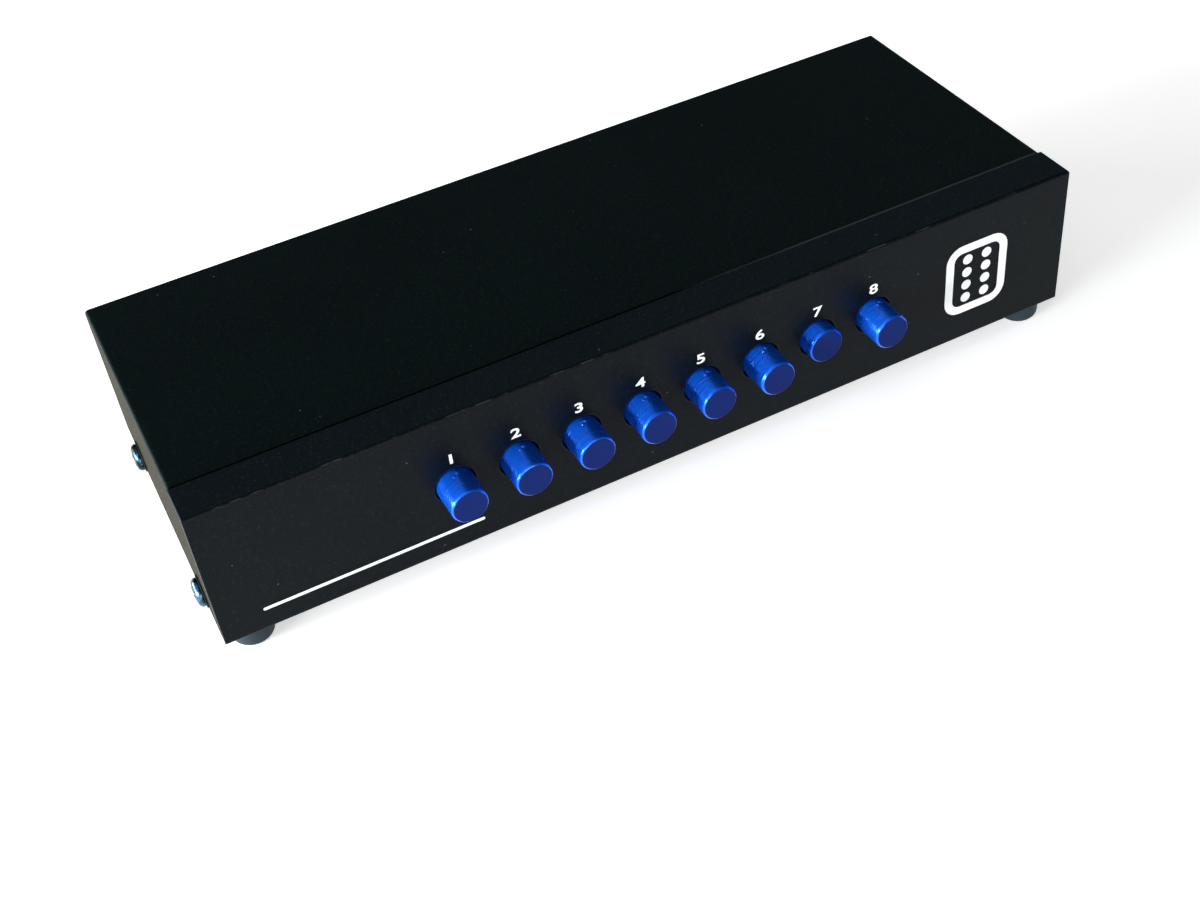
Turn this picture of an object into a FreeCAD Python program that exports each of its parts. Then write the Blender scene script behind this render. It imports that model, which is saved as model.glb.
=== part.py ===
import FreeCAD, Part
import math
import os

# Eight-way audio and video selector box: a folded steel case, a bank of eight latching
# push switches behind the front panel, and rows of coaxial jacks on the rear panel.
# Lengths are in millimetres. Pieces are drawn in the case's own coordinates: x across the
# box, y from the front panel's face to the rear, z up from the case's underside. When a
# piece is written it is moved to the part's frame, whose origin is on the ground, under
# the middle of the whole box.

os.makedirs("parts", exist_ok=True)
vector = FreeCAD.Vector

# How far a cutting block runs past what it cuts
cut_over = 1.0

# Case, folded from steel sheet
case_width = 218.0
case_depth = 82.0
case_height = 37.6
sheet = 1.0
fold_radius = 0.8
corner_radius = 0.5
strip_depth = 10.5
strip_step = 0.55
strip_seam = 0.2
closing_gap = 0.1
panel_recess = 1.0
rim_gap_side = 1.0
rim_gap_top = 0.3
cover_bend_radius = 1.0
least_inner_radius = 0.2
cover_lift = 0.6
joggle_length = 1.0
flange_height = 13.0
flange_margin = 4.0
flange_corner = 3.0

# Screws that close the case, one row along each side
side_screw_front = 12.0
side_screw_rear_margin = 19.5
side_screw_height = 6.3
side_screw_radius = 1.45
side_screw_length = 5.4
side_screw_head_radius = 3.4
side_screw_head_height = 1.7
side_screw_washer_radius = 3.9
side_screw_washer = 0.4
screw_clearance = 0.15
thread_gap = 0.05

# Rubber feet and their screws
foot_height = 5.0
foot_radius = 5.05
foot_rounding = 1.0
foot_side_margin = 7.0
foot_front = 5.8
foot_rear_margin = 8.0
foot_recess_gap = 0.4
foot_recess_depth = 2.8
foot_screw_radius = 1.3
foot_screw_head_radius = 2.5
foot_screw_head_height = 1.6
foot_screw_reach = 2.0

# Main circuit board and what it stands on
standoff_height = 3.0
standoff_radius = 2.75
standoff_shank_radius = 2.0
standoff_shank = 0.8
standoff_board_margin = 13.0
standoff_front = 20.0
standoff_block_gap = 9.0
standoff_middle = 30.0
board_thickness = 1.6
board_side_gap = 3.9
board_front = 9.0
board_rear_gap = 0.5
board_screw_radius = 1.2
board_screw_head_radius = 2.6
board_screw_head_height = 1.7
board_screw_short = 0.5
solder_reach = 1.0
solder_gap = 0.15

# Row of push buttons
button_count = 8
button_pitch = 15.24
button_row_centre = 0.95
button_height = 18.5
pressed_button = 7
cap_face_radius = 4.35
cap_base_radius = 4.5
cap_reach = 8.1
cap_length = 11.1
cap_bevel = 0.5
cap_wall = 2.0
cap_hole_gap = 0.4
cap_skirt_wall = 1.05
cap_hollow_depth = 2.0
button_travel = 4.0
button_overtravel = 0.6

# Plunger that carries the cap
stem = 3.2
stem_fit = 0.05
stem_guide_gap = 0.15
collar_lip = 0.1
collar_thickness = 1.0
lug_width = 1.3
lug_length = 2.5
lug_flat = 0.75
lug_half_height = 1.2
slab_length = 14.0
slab_half_height = 2.4
end_play = 0.1

# Return spring round each plunger, and the arcs that a coil's turn is made of
coil_steps = 4
return_wire_radius = 0.225
return_coil_gap = 0.26
return_turns = 5
spring_seat_gap = 0.03

# Steel frame of the switch bank
plate = 0.8
plate_distance = 12.0
plate_hole_gap = 0.19
bank_end_margin = 12.0
bank_cheek_depth = 12.0
bank_roof_lap = 0.5
bank_tab_width = 3.0
bank_tab_inset = 5.0

# Latch bar that holds the pressed plunger
bar_thickness = 0.8
bar_distance = 4.2
bar_half_height = 4.0
bar_window_half_height = 2.6
bar_window_gap = 0.4
bar_tooth_height = 1.2
bar_tooth_half_height = 1.4
bar_travel = 1.2
spigot_half_height = 1.2
spigot_reach = 3.0
bar_play = 0.1
bar_spring_length = 5.0
bar_spring_wire_radius = 0.2
bar_coil_gap = 0.25
bar_spring_turns = 6
latch_play = 0.05
tooth_clearance = 0.3

# Switch bodies and their contacts
switch_width = 10.4
switch_height = 20.6
switch_front_wall = 1.2
switch_rear_wall = 1.0
switch_front_gap = 0.25
channel_gap = 0.4
contact_gap = 0.3
poles = 3
pole_margin = 1.4
pole_pitch = 5.6
clip_length = 1.6
clip_thickness = 0.4
clip_proud = 0.15
clip_leg = 1.5
terminal_thickness = 0.4
terminal_width = 1.0
terminal_above_axis = 1.5
terminal_slot_gap = 0.05

# Coaxial jacks
jack_row_end = 4.0
jack_columns = 3
jack_row_pitch = 14.0
jack_low_row = 11.9
jack_hole_gap = 0.1
input_block_steps = (-1, 0, 1, 2)
output_block_step = -2
block_gap = 1.0
block_depth = 13.0
block_crown = 0.7
output_block_rise = 4.1
input_reach = 9.0
output_reach = 17.0
input_collar_steps = ((6.0, 0.9), (5.35, 1.9), (4.8, 2.8))
output_collar_steps = ((6.0, 1.4), (5.6, 3.4), (5.15, 5.4), (4.7, 7.4))
barrel_radius = 4.15
barrel_wall = 0.5
barrel_root = 7.5
barrel_root_step = 0.2
lip_length = 0.7
lip_inner_radius = 3.45
lip_rounding = 0.22
jack_fit = 0.05
insert_bore_radius = 1.65
insert_recess = 0.6
contact_radius = 1.95
contact_bore_radius = 1.4
contact_short = 0.2
tail_half_width = 0.4
tail_thickness = 0.5
high_tail_depth = 11.8
low_tail_depth = 9.8
tail_groove_gap = 0.1
jack_screw_radius = 1.25
jack_screw_head_radius = 2.25
jack_screw_head_height = 1.7
jack_screw_length = 8.0

# Shape of every screw: the tip, the cross recess and the rounding of the head
tip_chamfer_share = 1 / 3
recess_width_share = 0.3
recess_length_share = 1.25
recess_depth_share = 0.6
head_rounding_share = 0.55

# Worked out from the sizes above
half_width = case_width / 2
cover_top = case_height - strip_step
cover_inner_top = cover_top - sheet
inner_fold = max(fold_radius - sheet, least_inner_radius)
cover_inner_bend = max(cover_bend_radius - sheet, least_inner_radius)
cover_inner_side = half_width - sheet
flange_face = cover_inner_side - closing_gap
rear_face = case_depth - panel_recess
rear_inner = rear_face - sheet
standoff_rear = rear_inner - block_depth - standoff_block_gap
side_screw_places = (side_screw_front, case_depth - side_screw_rear_margin)
foot_across = half_width - foot_side_margin
foot_recess_radius = foot_screw_head_radius + foot_recess_gap
board_half = flange_face - sheet - board_side_gap
board_bottom = sheet + standoff_height
board_top = board_bottom + board_thickness
solder_end = board_bottom - solder_reach
full_travel = button_travel + button_overtravel
cap_back = cap_length - cap_reach
collar_back = cap_back + collar_thickness
plate_back = plate_distance + plate
bar_front = plate_back + bar_distance
bar_back = bar_front + bar_thickness
lug_front = bar_back + latch_play - button_travel
switch_front = lug_front + lug_length + full_travel + switch_front_gap
slab_front = switch_front + switch_front_wall + end_play
slab_back = slab_front + slab_length
channel_back = slab_back + full_travel + end_play
switch_back = channel_back + switch_rear_wall
switch_top = board_top + switch_height
half_stem = stem / 2
stem_diagonal = half_stem * 2 ** 0.5
lug_crest = half_stem + lug_width
tooth_tip = lug_crest + tooth_clearance
channel_half_width = half_stem + clip_proud + contact_gap
channel_half_height = slab_half_height + channel_gap
bank_half = (button_count - 1) / 2 * button_pitch + bank_end_margin
bank_left = button_row_centre - bank_half
bank_right = button_row_centre + bank_half
return_spring_radius = stem_diagonal + return_coil_gap + return_wire_radius
collar_radius = return_spring_radius + return_wire_radius + collar_lip
spigot_diagonal = (spigot_half_height ** 2 + (bar_thickness / 2) ** 2) ** 0.5
bar_spring_radius = spigot_diagonal + bar_coil_gap + bar_spring_wire_radius
blocks_across = len(input_block_steps) + 1
jack_pitch = (case_width - 2 * jack_row_end) / (blocks_across * jack_columns)
jack_high_row = jack_low_row + jack_row_pitch
jack_screw_height = jack_low_row + jack_row_pitch / 2
block_pitch = jack_columns * jack_pitch
input_block_places = [step * block_pitch for step in input_block_steps]
output_block_place = output_block_step * block_pitch
all_block_places = input_block_places + [output_block_place]
barrel_inner_radius = barrel_radius - barrel_wall
barrel_root_radius = barrel_radius - barrel_root_step
clip_core_side = half_stem + clip_proud - clip_thickness
clip_core_top = button_height + slab_half_height + clip_proud - clip_thickness
origin_shift = vector(0, (cap_reach - rear_face - output_reach) / 2, foot_height)


def box(x_span, y_span, z_span):
    """A block between two values along each axis."""
    size = [span[1] - span[0] for span in (x_span, y_span, z_span)]
    return Part.makeBox(size[0], size[1], size[2], vector(x_span[0], y_span[0], z_span[0]))


def about(middle, half):
    """The span that reaches half each way from its middle."""
    return (middle - half, middle + half)


def rod_x(radius, y, z, x_span):
    return Part.makeCylinder(radius, x_span[1] - x_span[0], vector(x_span[0], y, z), vector(1, 0, 0))


def rod_y(radius, x, z, y_span):
    return Part.makeCylinder(radius, y_span[1] - y_span[0], vector(x, y_span[0], z), vector(0, 1, 0))


def rod_z(radius, x, y, z_span):
    return Part.makeCylinder(radius, z_span[1] - z_span[0], vector(x, y, z_span[0]))


def moved(shape, x=0.0, y=0.0, z=0.0):
    copy = shape.copy()
    copy.translate(vector(x, y, z))
    return copy


def edges_on(shape, direction, places):
    """Straight edges along one axis letter whose other two coordinates match a place."""
    others = [axis for axis in "xyz" if axis != direction]
    found = []
    for edge in shape.Edges:
        first = edge.Vertexes[0].Point
        last = edge.Vertexes[-1].Point
        if abs(getattr(last, direction) - getattr(first, direction)) < edge.Length - 0.001:
            continue
        for place in places:
            if all(abs(getattr(first, axis) - value) < 0.001 for axis, value in zip(others, place)):
                found.append(edge)
    return found


def rounded(shape, direction, places, radius):
    return shape.makeFillet(radius, edges_on(shape, direction, places))


def prism_y(outline, y_span):
    """A solid with an outline of (x, z) corners, drawn along y."""
    corners = [vector(x, y_span[0], z) for x, z in outline]
    face = Part.Face(Part.makePolygon(corners + corners[:1]))
    return face.extrude(vector(0, y_span[1] - y_span[0], 0))


def prism_z(outline, z_span):
    """A solid with an outline of (x, y) corners, drawn along z."""
    corners = [vector(x, y, z_span[0]) for x, y in outline]
    face = Part.Face(Part.makePolygon(corners + corners[:1]))
    return face.extrude(vector(0, 0, z_span[1] - z_span[0]))


def write(name, solids):
    """Moves a node's solids to the part's frame and writes them as one file."""
    shape = solids[0] if len(solids) == 1 else Part.makeCompound(solids)
    moved(shape, origin_shift.x, origin_shift.y, origin_shift.z).exportStep("parts/%s.step" % name)


def cross_recess(head_radius, head_height):
    """The cross that a screwdriver fits, cut down from the top of a head."""
    half = head_radius * recess_length_share / 2
    width = head_radius * recess_width_share
    span = (head_height * (1 - recess_depth_share), head_height + cut_over)
    slot = box(about(0, half), about(0, width / 2), span)
    return slot.fuse(box(about(0, width / 2), about(0, half), span))


def screw(head_radius, head_height, shank_radius, shank_length, washer_radius=0.0, washer=0.0):
    """A pan-head screw that points down, with the underside of its head at the origin."""
    head = Part.makeCylinder(head_radius, head_height)
    top = [edge for edge in head.Edges if abs(edge.CenterOfMass.z - head_height) < 0.001]
    head = head.makeFillet(head_height * head_rounding_share, top)
    head = head.cut(cross_recess(head_radius, head_height))
    if washer:
        head = moved(head, z=washer).fuse(Part.makeCylinder(washer_radius, washer))
    shank = rod_z(shank_radius, 0, 0, (-shank_length, 0))
    tip = [edge for edge in shank.Edges if abs(edge.CenterOfMass.z + shank_length) < 0.001]
    return head.fuse(shank.makeChamfer(shank_radius * tip_chamfer_share, tip)).removeSplitter()


def aimed(shape, turn_axis, angle, place):
    """The shape turned about an axis through the origin and then moved to its place."""
    copy = shape.copy()
    copy.rotate(vector(0, 0, 0), turn_axis, angle)
    copy.translate(place)
    return copy


def corner_arc(start, corner, end):
    """The arc between two points that touches both sides of the corner between them."""
    middle = (start + end) * 0.5
    half_chord = (end - start).Length / 2
    height = (corner - middle).Length
    side = (half_chord ** 2 + height ** 2) ** 0.5
    bulge = half_chord * (side - half_chord) / height
    return Part.Arc(start, middle + (corner - middle) * (bulge / height), end).toShape()


def joining_arcs(start, start_way, end, end_way):
    """Two arcs that leave one point its way, touch each other and arrive at the next its way."""
    span = end - start
    ways = start_way + end_way
    square = ways.dot(ways) - 4
    reach = (span.dot(ways) - (span.dot(ways) ** 2 - square * span.dot(span)) ** 0.5) / square
    first_corner = start + start_way * reach
    second_corner = end - end_way * reach
    joint = (first_corner + second_corner) * 0.5
    return [corner_arc(start, first_corner, joint), corner_arc(joint, second_corner, end)]


def coil(radius, wire_radius, turns, length):
    """A wound spring that stands on the origin, its axis along z."""
    rise = (length - 2 * wire_radius) / turns
    stations = []
    for step in range(turns * coil_steps + 1):
        angle = 2 * math.pi * step / coil_steps
        height = wire_radius + rise * step / coil_steps
        place = vector(radius * math.cos(angle), radius * math.sin(angle), height)
        way = vector(-math.sin(angle), math.cos(angle), rise / (2 * math.pi * radius)).normalize()
        stations.append((place, way))
    arcs = []
    for here, there in zip(stations, stations[1:]):
        arcs += joining_arcs(*here, *there)
    section = Part.Wire(Part.makeCircle(wire_radius, *stations[0]))
    return Part.Wire(arcs).makePipeShell([section], True, False)


def button_x(number):
    return button_row_centre + (number - (button_count + 1) / 2) * button_pitch


def rest_press(number):
    """How far a button is in at rest: one is latched, the others are out."""
    return button_travel if number == pressed_button else 0.0


def jack_columns_of(block_place):
    """The x of a block's jacks, video first, then left, then right."""
    middle = (jack_columns - 1) / 2
    return [block_place + (middle - column) * jack_pitch for column in range(jack_columns)]


def jack_places():
    """Every jack as (column in its block, x, z, is it an output)."""
    places = []
    for block_place in input_block_places:
        for row in (jack_low_row, jack_high_row):
            places += [(column, x, row, False) for column, x in enumerate(jack_columns_of(block_place))]
    for column, x in enumerate(jack_columns_of(output_block_place)):
        places.append((column, x, jack_low_row, True))
    return places


def jack_screw_places(block_place):
    return [block_place - jack_pitch / 2, block_place + jack_pitch / 2]


def foot_places():
    """Where each foot stands, by the name of its corner."""
    rear = case_depth - foot_rear_margin
    return {
        "front_left": (-foot_across, foot_front),
        "front_right": (foot_across, foot_front),
        "rear_left": (-foot_across, rear),
        "rear_right": (foot_across, rear),
    }


def terminal_stations():
    """The y of the fixed contacts, where the sliding clips come to rest when latched."""
    return [slab_front + pole_margin + pole * pole_pitch + button_travel for pole in range(poles)]


def terminals_of(x, bottom, gap=0.0):
    """The six fixed contact blades of the switch at x, or with a gap the slots they sit in."""
    blades = []
    for y in terminal_stations():
        for side in (-1, 1):
            inner = x + side * channel_half_width
            outer = inner + side * (terminal_thickness + gap)
            x_span = sorted((inner, outer))
            z_span = (bottom, button_height + terminal_above_axis + gap)
            blades.append(box(x_span, about(y, terminal_width / 2 + gap), z_span))
    return blades


def standoff_places():
    outer = board_half - standoff_board_margin
    places = [(side * outer, y) for y in (standoff_front, standoff_rear) for side in (-1, 1)]
    return places + [(side * standoff_middle, standoff_rear) for side in (-1, 1)]


def widened(x_span, y_span, gap):
    """A cut through the board that leaves a gap round something with these spans."""
    x_cut = (x_span[0] - gap, x_span[1] + gap)
    y_cut = (y_span[0] - gap, y_span[1] + gap)
    return box(x_cut, y_cut, (board_bottom - gap, board_top + gap))


def make_chassis():
    """Bottom, front panel with its strip over the top, rear panel and side flanges."""
    full = about(0, half_width)
    wide = about(0, half_width + cut_over)
    folds = ((0, 0), (0, case_height), (rear_face, 0))
    outer = rounded(box(full, (0, rear_face), (0, case_height)), "x", folds, fold_radius)
    room = box(wide, (sheet, rear_inner), (sheet, case_height - sheet))
    inner_folds = ((sheet, sheet), (sheet, case_height - sheet), (rear_inner, sheet))
    room = rounded(room, "x", inner_folds, inner_fold)
    above = case_height + cut_over
    behind = case_depth + cut_over
    open_top = box(wide, (strip_depth, rear_inner), (case_height - sheet - cut_over, above))
    rear_top = cover_inner_top - rim_gap_top
    above_rear = box(wide, (strip_depth, behind), (rear_top, above))
    cuts = [room, open_top, above_rear]
    for side in (-1, 1):
        past_bottom = sorted((side * flange_face, side * (half_width + cut_over)))
        cuts.append(box(past_bottom, (sheet, behind), (-cut_over, case_height - sheet)))
        past_rear = sorted((side * (cover_inner_side - rim_gap_side), side * (half_width + cut_over)))
        cuts.append(box(past_rear, (rear_inner, behind), (-cut_over, case_height)))
    body = outer.cut(cuts)
    flange_span = (sheet + flange_margin, rear_inner - flange_margin)
    for side in (-1, 1):
        x_span = sorted((side * flange_face, side * (flange_face - sheet)))
        flange = box(x_span, flange_span, (0, flange_height))
        top_corners = [(y, flange_height) for y in flange_span]
        body = body.fuse(rounded(flange, "x", top_corners, flange_corner))
    front_corners = [(side * half_width, z) for side in (-1, 1) for z in (0, case_height)]
    outline = box(full, (-cut_over, case_depth), (0, case_height))
    outline = rounded(outline, "y", front_corners, corner_radius)
    return [body.removeSplitter().common(outline).cut(chassis_holes())]


def chassis_holes():
    through_sheet = (-cut_over, sheet + cut_over)
    through_rear = (rear_inner - cut_over, rear_face + cut_over)
    cap_hole = cap_base_radius + cap_hole_gap
    holes = [rod_y(cap_hole, button_x(n + 1), button_height, through_sheet) for n in range(button_count)]
    jack_hole = input_collar_steps[0][0] + jack_hole_gap
    holes += [rod_y(jack_hole, x, z, through_rear) for _, x, z, _ in jack_places()]
    for block_place in all_block_places:
        for x in jack_screw_places(block_place):
            holes.append(rod_y(jack_screw_radius + screw_clearance, x, jack_screw_height, through_rear))
    for x, y in foot_places().values():
        holes.append(rod_z(foot_screw_radius + thread_gap, x, y, through_sheet))
    for x, y in standoff_places():
        holes.append(rod_z(standoff_shank_radius + thread_gap, x, y, through_sheet))
    for y in side_screw_places:
        x_span = about(0, half_width + cut_over)
        holes.append(rod_x(side_screw_radius + thread_gap, y, side_screw_height, x_span))
    return holes


def cover_shell(top, y_span):
    """One length of the cover: a roof and two sides, with rounded upper edges."""
    outer = box(about(0, half_width), y_span, (cover_lift, top))
    outer = rounded(outer, "y", [(side * half_width, top) for side in (-1, 1)], cover_bend_radius)
    room_y = (y_span[0] - cut_over, y_span[1] + cut_over)
    room = box(about(0, cover_inner_side), room_y, (cover_lift - cut_over, top - sheet))
    inner_bends = [(side * cover_inner_side, top - sheet) for side in (-1, 1)]
    room = rounded(room, "y", inner_bends, cover_inner_bend)
    return outer.cut(room)


def make_cover():
    """Roof and sides in one sheet, with a lowered tongue that tucks under the strip."""
    seam_y = strip_depth + strip_seam
    tongue_top = case_height - sheet - closing_gap
    tongue = cover_shell(tongue_top, (sheet + closing_gap, seam_y + joggle_length))
    roof = cover_shell(cover_top, (seam_y, case_depth))
    body = tongue.fuse(roof).removeSplitter()
    wide = about(0, half_width + cut_over)
    fold_end = sheet + closing_gap + inner_fold
    fold_room = box(wide, (0, fold_end), (tongue_top - sheet - inner_fold, case_height))
    holes = [fold_room]
    for y in side_screw_places:
        x_span = about(0, half_width + cut_over)
        holes.append(rod_x(side_screw_radius + screw_clearance, y, side_screw_height, x_span))
    return [body.cut(holes)]


def make_side_screws():
    """The four screws, each with a thin washer face, that hold the cover to the flanges."""
    model = screw(
        side_screw_head_radius, side_screw_head_height, side_screw_radius, side_screw_length,
        side_screw_washer_radius, side_screw_washer,
    )
    solids = []
    for side in (-1, 1):
        for y in side_screw_places:
            place = vector(side * half_width, y, side_screw_height)
            solids.append(aimed(model, vector(0, 1, 0), side * 90, place))
    return solids


def make_foot(x, y):
    """A round rubber foot with a recess for its screw."""
    foot = rod_z(foot_radius, x, y, (-foot_height, 0))
    ground = [edge for edge in foot.Edges if abs(edge.CenterOfMass.z + foot_height) < 0.001]
    foot = foot.makeFillet(foot_rounding, ground)
    below = -foot_height - cut_over
    recess = rod_z(foot_recess_radius, x, y, (below, foot_recess_depth - foot_height))
    hole = rod_z(foot_screw_radius + screw_clearance, x, y, (below, cut_over))
    return [foot.cut([recess, hole])]


def make_foot_screws():
    seat = foot_recess_depth - foot_height
    length = sheet + foot_screw_reach - seat
    model = screw(foot_screw_head_radius, foot_screw_head_height, foot_screw_radius, length)
    return [aimed(model, vector(1, 0, 0), 180, vector(x, y, seat)) for x, y in foot_places().values()]


def make_standoffs():
    solids = []
    for x, y in standoff_places():
        body = rod_z(standoff_radius, x, y, (sheet, board_bottom))
        shank = rod_z(standoff_shank_radius, x, y, (sheet - standoff_shank, sheet))
        bore = rod_z(board_screw_radius + thread_gap, x, y, (sheet - standoff_shank, board_bottom))
        solids.append(body.fuse(shank).cut(bore).removeSplitter())
    return solids


def make_board_screws():
    length = board_thickness + standoff_height - board_screw_short
    model = screw(board_screw_head_radius, board_screw_head_height, board_screw_radius, length)
    return [moved(model, x, y, board_top) for x, y in standoff_places()]


def bank_tab_spans():
    """The feet of the switch bank's frame, as (x span, y span) where they pass the board."""
    spans = []
    for x_span in ((bank_left, bank_left + plate), (bank_right - plate, bank_right)):
        y = plate_distance + bank_tab_inset
        spans.append((x_span, (y, y + bank_tab_width)))
    return spans


def jack_tail_spans():
    """The jacks' solder tails, as (x span, y span) where they pass the board."""
    return [(about(x, tail_half_width), tail_y_span(z)) for _, x, z, _ in jack_places()]


def tail_y_span(z):
    depth = low_tail_depth if z == jack_low_row else high_tail_depth
    return (rear_inner - depth, rear_inner - depth + tail_thickness)


def make_main_board():
    """The board, with a hole for each screw and a slot for each soldered leg."""
    board = box(about(0, board_half), (board_front, rear_inner - board_rear_gap), (board_bottom, board_top))
    legs = bank_tab_spans() + jack_tail_spans()
    for number in range(1, button_count + 1):
        for blade in terminals_of(button_x(number), solder_end):
            bounds = blade.BoundBox
            legs.append(((bounds.XMin, bounds.XMax), (bounds.YMin, bounds.YMax)))
    cuts = [widened(x_span, y_span, solder_gap) for x_span, y_span in legs]
    through = (board_bottom - cut_over, board_top + cut_over)
    cuts += [rod_z(board_screw_radius + screw_clearance, x, y, through) for x, y in standoff_places()]
    return [board.cut(cuts)]


def make_button_cap(number):
    """A round cap with a bevelled face and a square socket for the plunger."""
    front = rest_press(number) - cap_reach
    back = front + cap_length
    x = button_x(number)
    face = (vector(x, front, button_height), vector(0, 1, 0))
    slope = (cap_base_radius - cap_face_radius) / cap_length
    shoulder = cap_face_radius + slope * cap_bevel
    nose = Part.makeCone(cap_face_radius - cap_bevel, shoulder, cap_bevel, *face)
    skirt_place = vector(x, front + cap_bevel, button_height)
    skirt = Part.makeCone(shoulder, cap_base_radius, cap_length - cap_bevel, skirt_place, vector(0, 1, 0))
    half = half_stem + stem_fit
    socket = box(about(x, half), (front + cap_wall, back + cut_over), about(button_height, half))
    hollow_y = (back - cap_hollow_depth, back + cut_over)
    hollow = rod_y(cap_base_radius - cap_skirt_wall, x, button_height, hollow_y)
    return [nose.fuse(skirt).removeSplitter().cut([socket, hollow])]


def make_plunger(number):
    """Stem, collar for the cap and spring, latching lug, and the slab that carries the clips."""
    x = button_x(number)
    z = button_height
    press = rest_press(number)
    tip = cap_wall - cap_reach + end_play
    stem_part = box(about(x, half_stem), (tip, slab_front), about(z, half_stem))
    collar = rod_y(collar_radius, x, z, (cap_back, collar_back))
    lug_outline = (
        (x - half_stem, lug_front),
        (x - lug_crest, lug_front),
        (x - lug_crest, lug_front + lug_flat),
        (x - half_stem, lug_front + lug_length),
    )
    lug = prism_z(lug_outline, about(z, lug_half_height))
    slab = box(about(x, half_stem), (slab_front, slab_back), about(z, slab_half_height))
    body = stem_part.fuse([collar, lug, slab]).removeSplitter()
    grooves = [clip_envelope(x, y, 0.0) for y in clip_stations()]
    kept = box(about(x, clip_core_side), (slab_front, slab_back), (z - slab_half_height, clip_core_top))
    cuts = [groove.cut(kept) for groove in grooves]
    return [moved(body.cut(cuts), y=press)]


def clip_stations():
    """The y of the sliding clips when the button is out."""
    return [slab_front + pole_margin + pole * pole_pitch for pole in range(poles)]


def clip_envelope(x, y, press):
    """The outside of a clip: a saddle over the top and both sides of the slab."""
    side = half_stem + clip_proud
    top = button_height + slab_half_height + clip_proud
    return box(about(x, side), about(y + press, clip_length / 2), (button_height - clip_leg, top))


def make_moving_contacts(number):
    """The clips that join a switch's fixed contacts when its button is latched in."""
    x = button_x(number)
    press = rest_press(number)
    solids = []
    for y in clip_stations():
        envelope = clip_envelope(x, y, press)
        core = box(about(x, clip_core_side), about(y + press, clip_length), (0, clip_core_top))
        solids.append(envelope.cut(core))
    return solids


def make_return_spring(number):
    """The coil between a plunger's collar and the frame's front plate."""
    start = collar_back + rest_press(number) + spring_seat_gap
    length = plate_distance - spring_seat_gap - start
    spring = coil(return_spring_radius, return_wire_radius, return_turns, length)
    return [aimed(spring, vector(1, 0, 0), -90, vector(button_x(number), start, button_height))]


def make_switch_bodies():
    """One moulded body for each switch, with a closed channel for its plunger."""
    z = button_height
    window = half_stem + stem_guide_gap
    solids = []
    for number in range(1, button_count + 1):
        x = button_x(number)
        body = box(about(x, switch_width / 2), (switch_front, switch_back), (board_top, switch_top))
        channel_y = (switch_front + switch_front_wall, channel_back)
        channel = box(about(x, channel_half_width), channel_y, about(z, channel_half_height))
        mouth_y = (switch_front - cut_over, switch_front + switch_front_wall + cut_over)
        mouth = box(about(x, window), mouth_y, about(z, window))
        cuts = [channel, mouth] + terminals_of(x, board_top - cut_over, terminal_slot_gap)
        solids.append(body.cut(cuts))
    return solids


def make_switch_terminals():
    blades = []
    for number in range(1, button_count + 1):
        blades += terminals_of(button_x(number), solder_end)
    return blades


def make_bank_frame():
    """Front plate, roof and two cheeks in one folded plate, with feet through the board."""
    full = (bank_left, bank_right)
    roof_top = switch_top + plate
    front = box(full, (plate_distance, plate_back), (board_top, roof_top))
    roof = box(full, (plate_distance, switch_back - bank_roof_lap), (switch_top, roof_top))
    parts = [roof]
    slots = []
    bar_y = (bar_front - bar_play, bar_back + bar_play)
    bar_z = about(button_height, spigot_half_height + bar_play)
    cheek_y = (plate_distance, plate_distance + bank_cheek_depth)
    for x_span, y_span in bank_tab_spans():
        parts.append(box(x_span, cheek_y, (board_top, roof_top)))
        parts.append(box(x_span, y_span, (solder_end, board_top)))
        slots.append(box((x_span[0] - cut_over, x_span[1] + cut_over), bar_y, bar_z))
    body = front.fuse(parts).removeSplitter()
    body = rounded(body, "x", ((plate_distance, roof_top),), plate)
    through = (plate_distance - cut_over, plate_back + cut_over)
    hole = stem_diagonal + plate_hole_gap
    holes = [rod_y(hole, button_x(n + 1), button_height, through) for n in range(button_count)]
    return [body.cut(holes + slots)]


def make_latch_bar():
    """The sliding strip whose teeth catch behind a latched plunger's lug."""
    y_span = (bar_front, bar_back)
    left_shoulder = bank_left + plate + bar_spring_length
    right_shoulder = bank_right - plate - bar_play
    strip = box((left_shoulder, right_shoulder), y_span, about(button_height, bar_half_height))
    spigot_x = (bank_left - spigot_reach, bank_right + spigot_reach)
    spigot = box(spigot_x, y_span, about(button_height, spigot_half_height))
    body = strip.fuse(spigot).removeSplitter()
    cuts = []
    for number in range(1, button_count + 1):
        x = button_x(number)
        right = x + half_stem + bar_travel + bar_window_gap
        low = button_height - bar_window_half_height
        high = button_height + bar_window_half_height
        tip = x - tooth_tip
        root = tip - bar_tooth_height
        outline = (
            (root, low),
            (right, low),
            (right, high),
            (root, high),
            (root, button_height + bar_tooth_half_height),
            (tip, button_height + bar_tooth_half_height / 2),
            (tip, button_height - bar_tooth_half_height / 2),
            (root, button_height - bar_tooth_half_height),
        )
        cuts.append(prism_y(outline, (bar_front - cut_over, bar_back + cut_over)))
    return [body.cut(cuts)]


def make_latch_bar_spring():
    """The coil round the bar's left spigot, which pushes the bar back to the right."""
    start = bank_left + plate + spring_seat_gap
    length = bar_spring_length - 2 * spring_seat_gap
    spring = coil(bar_spring_radius, bar_spring_wire_radius, bar_spring_turns, length)
    middle = (bar_front + bar_back) / 2
    return [aimed(spring, vector(0, 1, 0), 90, vector(start, middle, button_height))]


def collar_face(is_output):
    """The y of the last step of a jack's moulded collar."""
    steps = output_collar_steps if is_output else input_collar_steps
    return rear_face + steps[-1][1]


def jack_mouth(is_output):
    return rear_face + (output_reach if is_output else input_reach)


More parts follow.
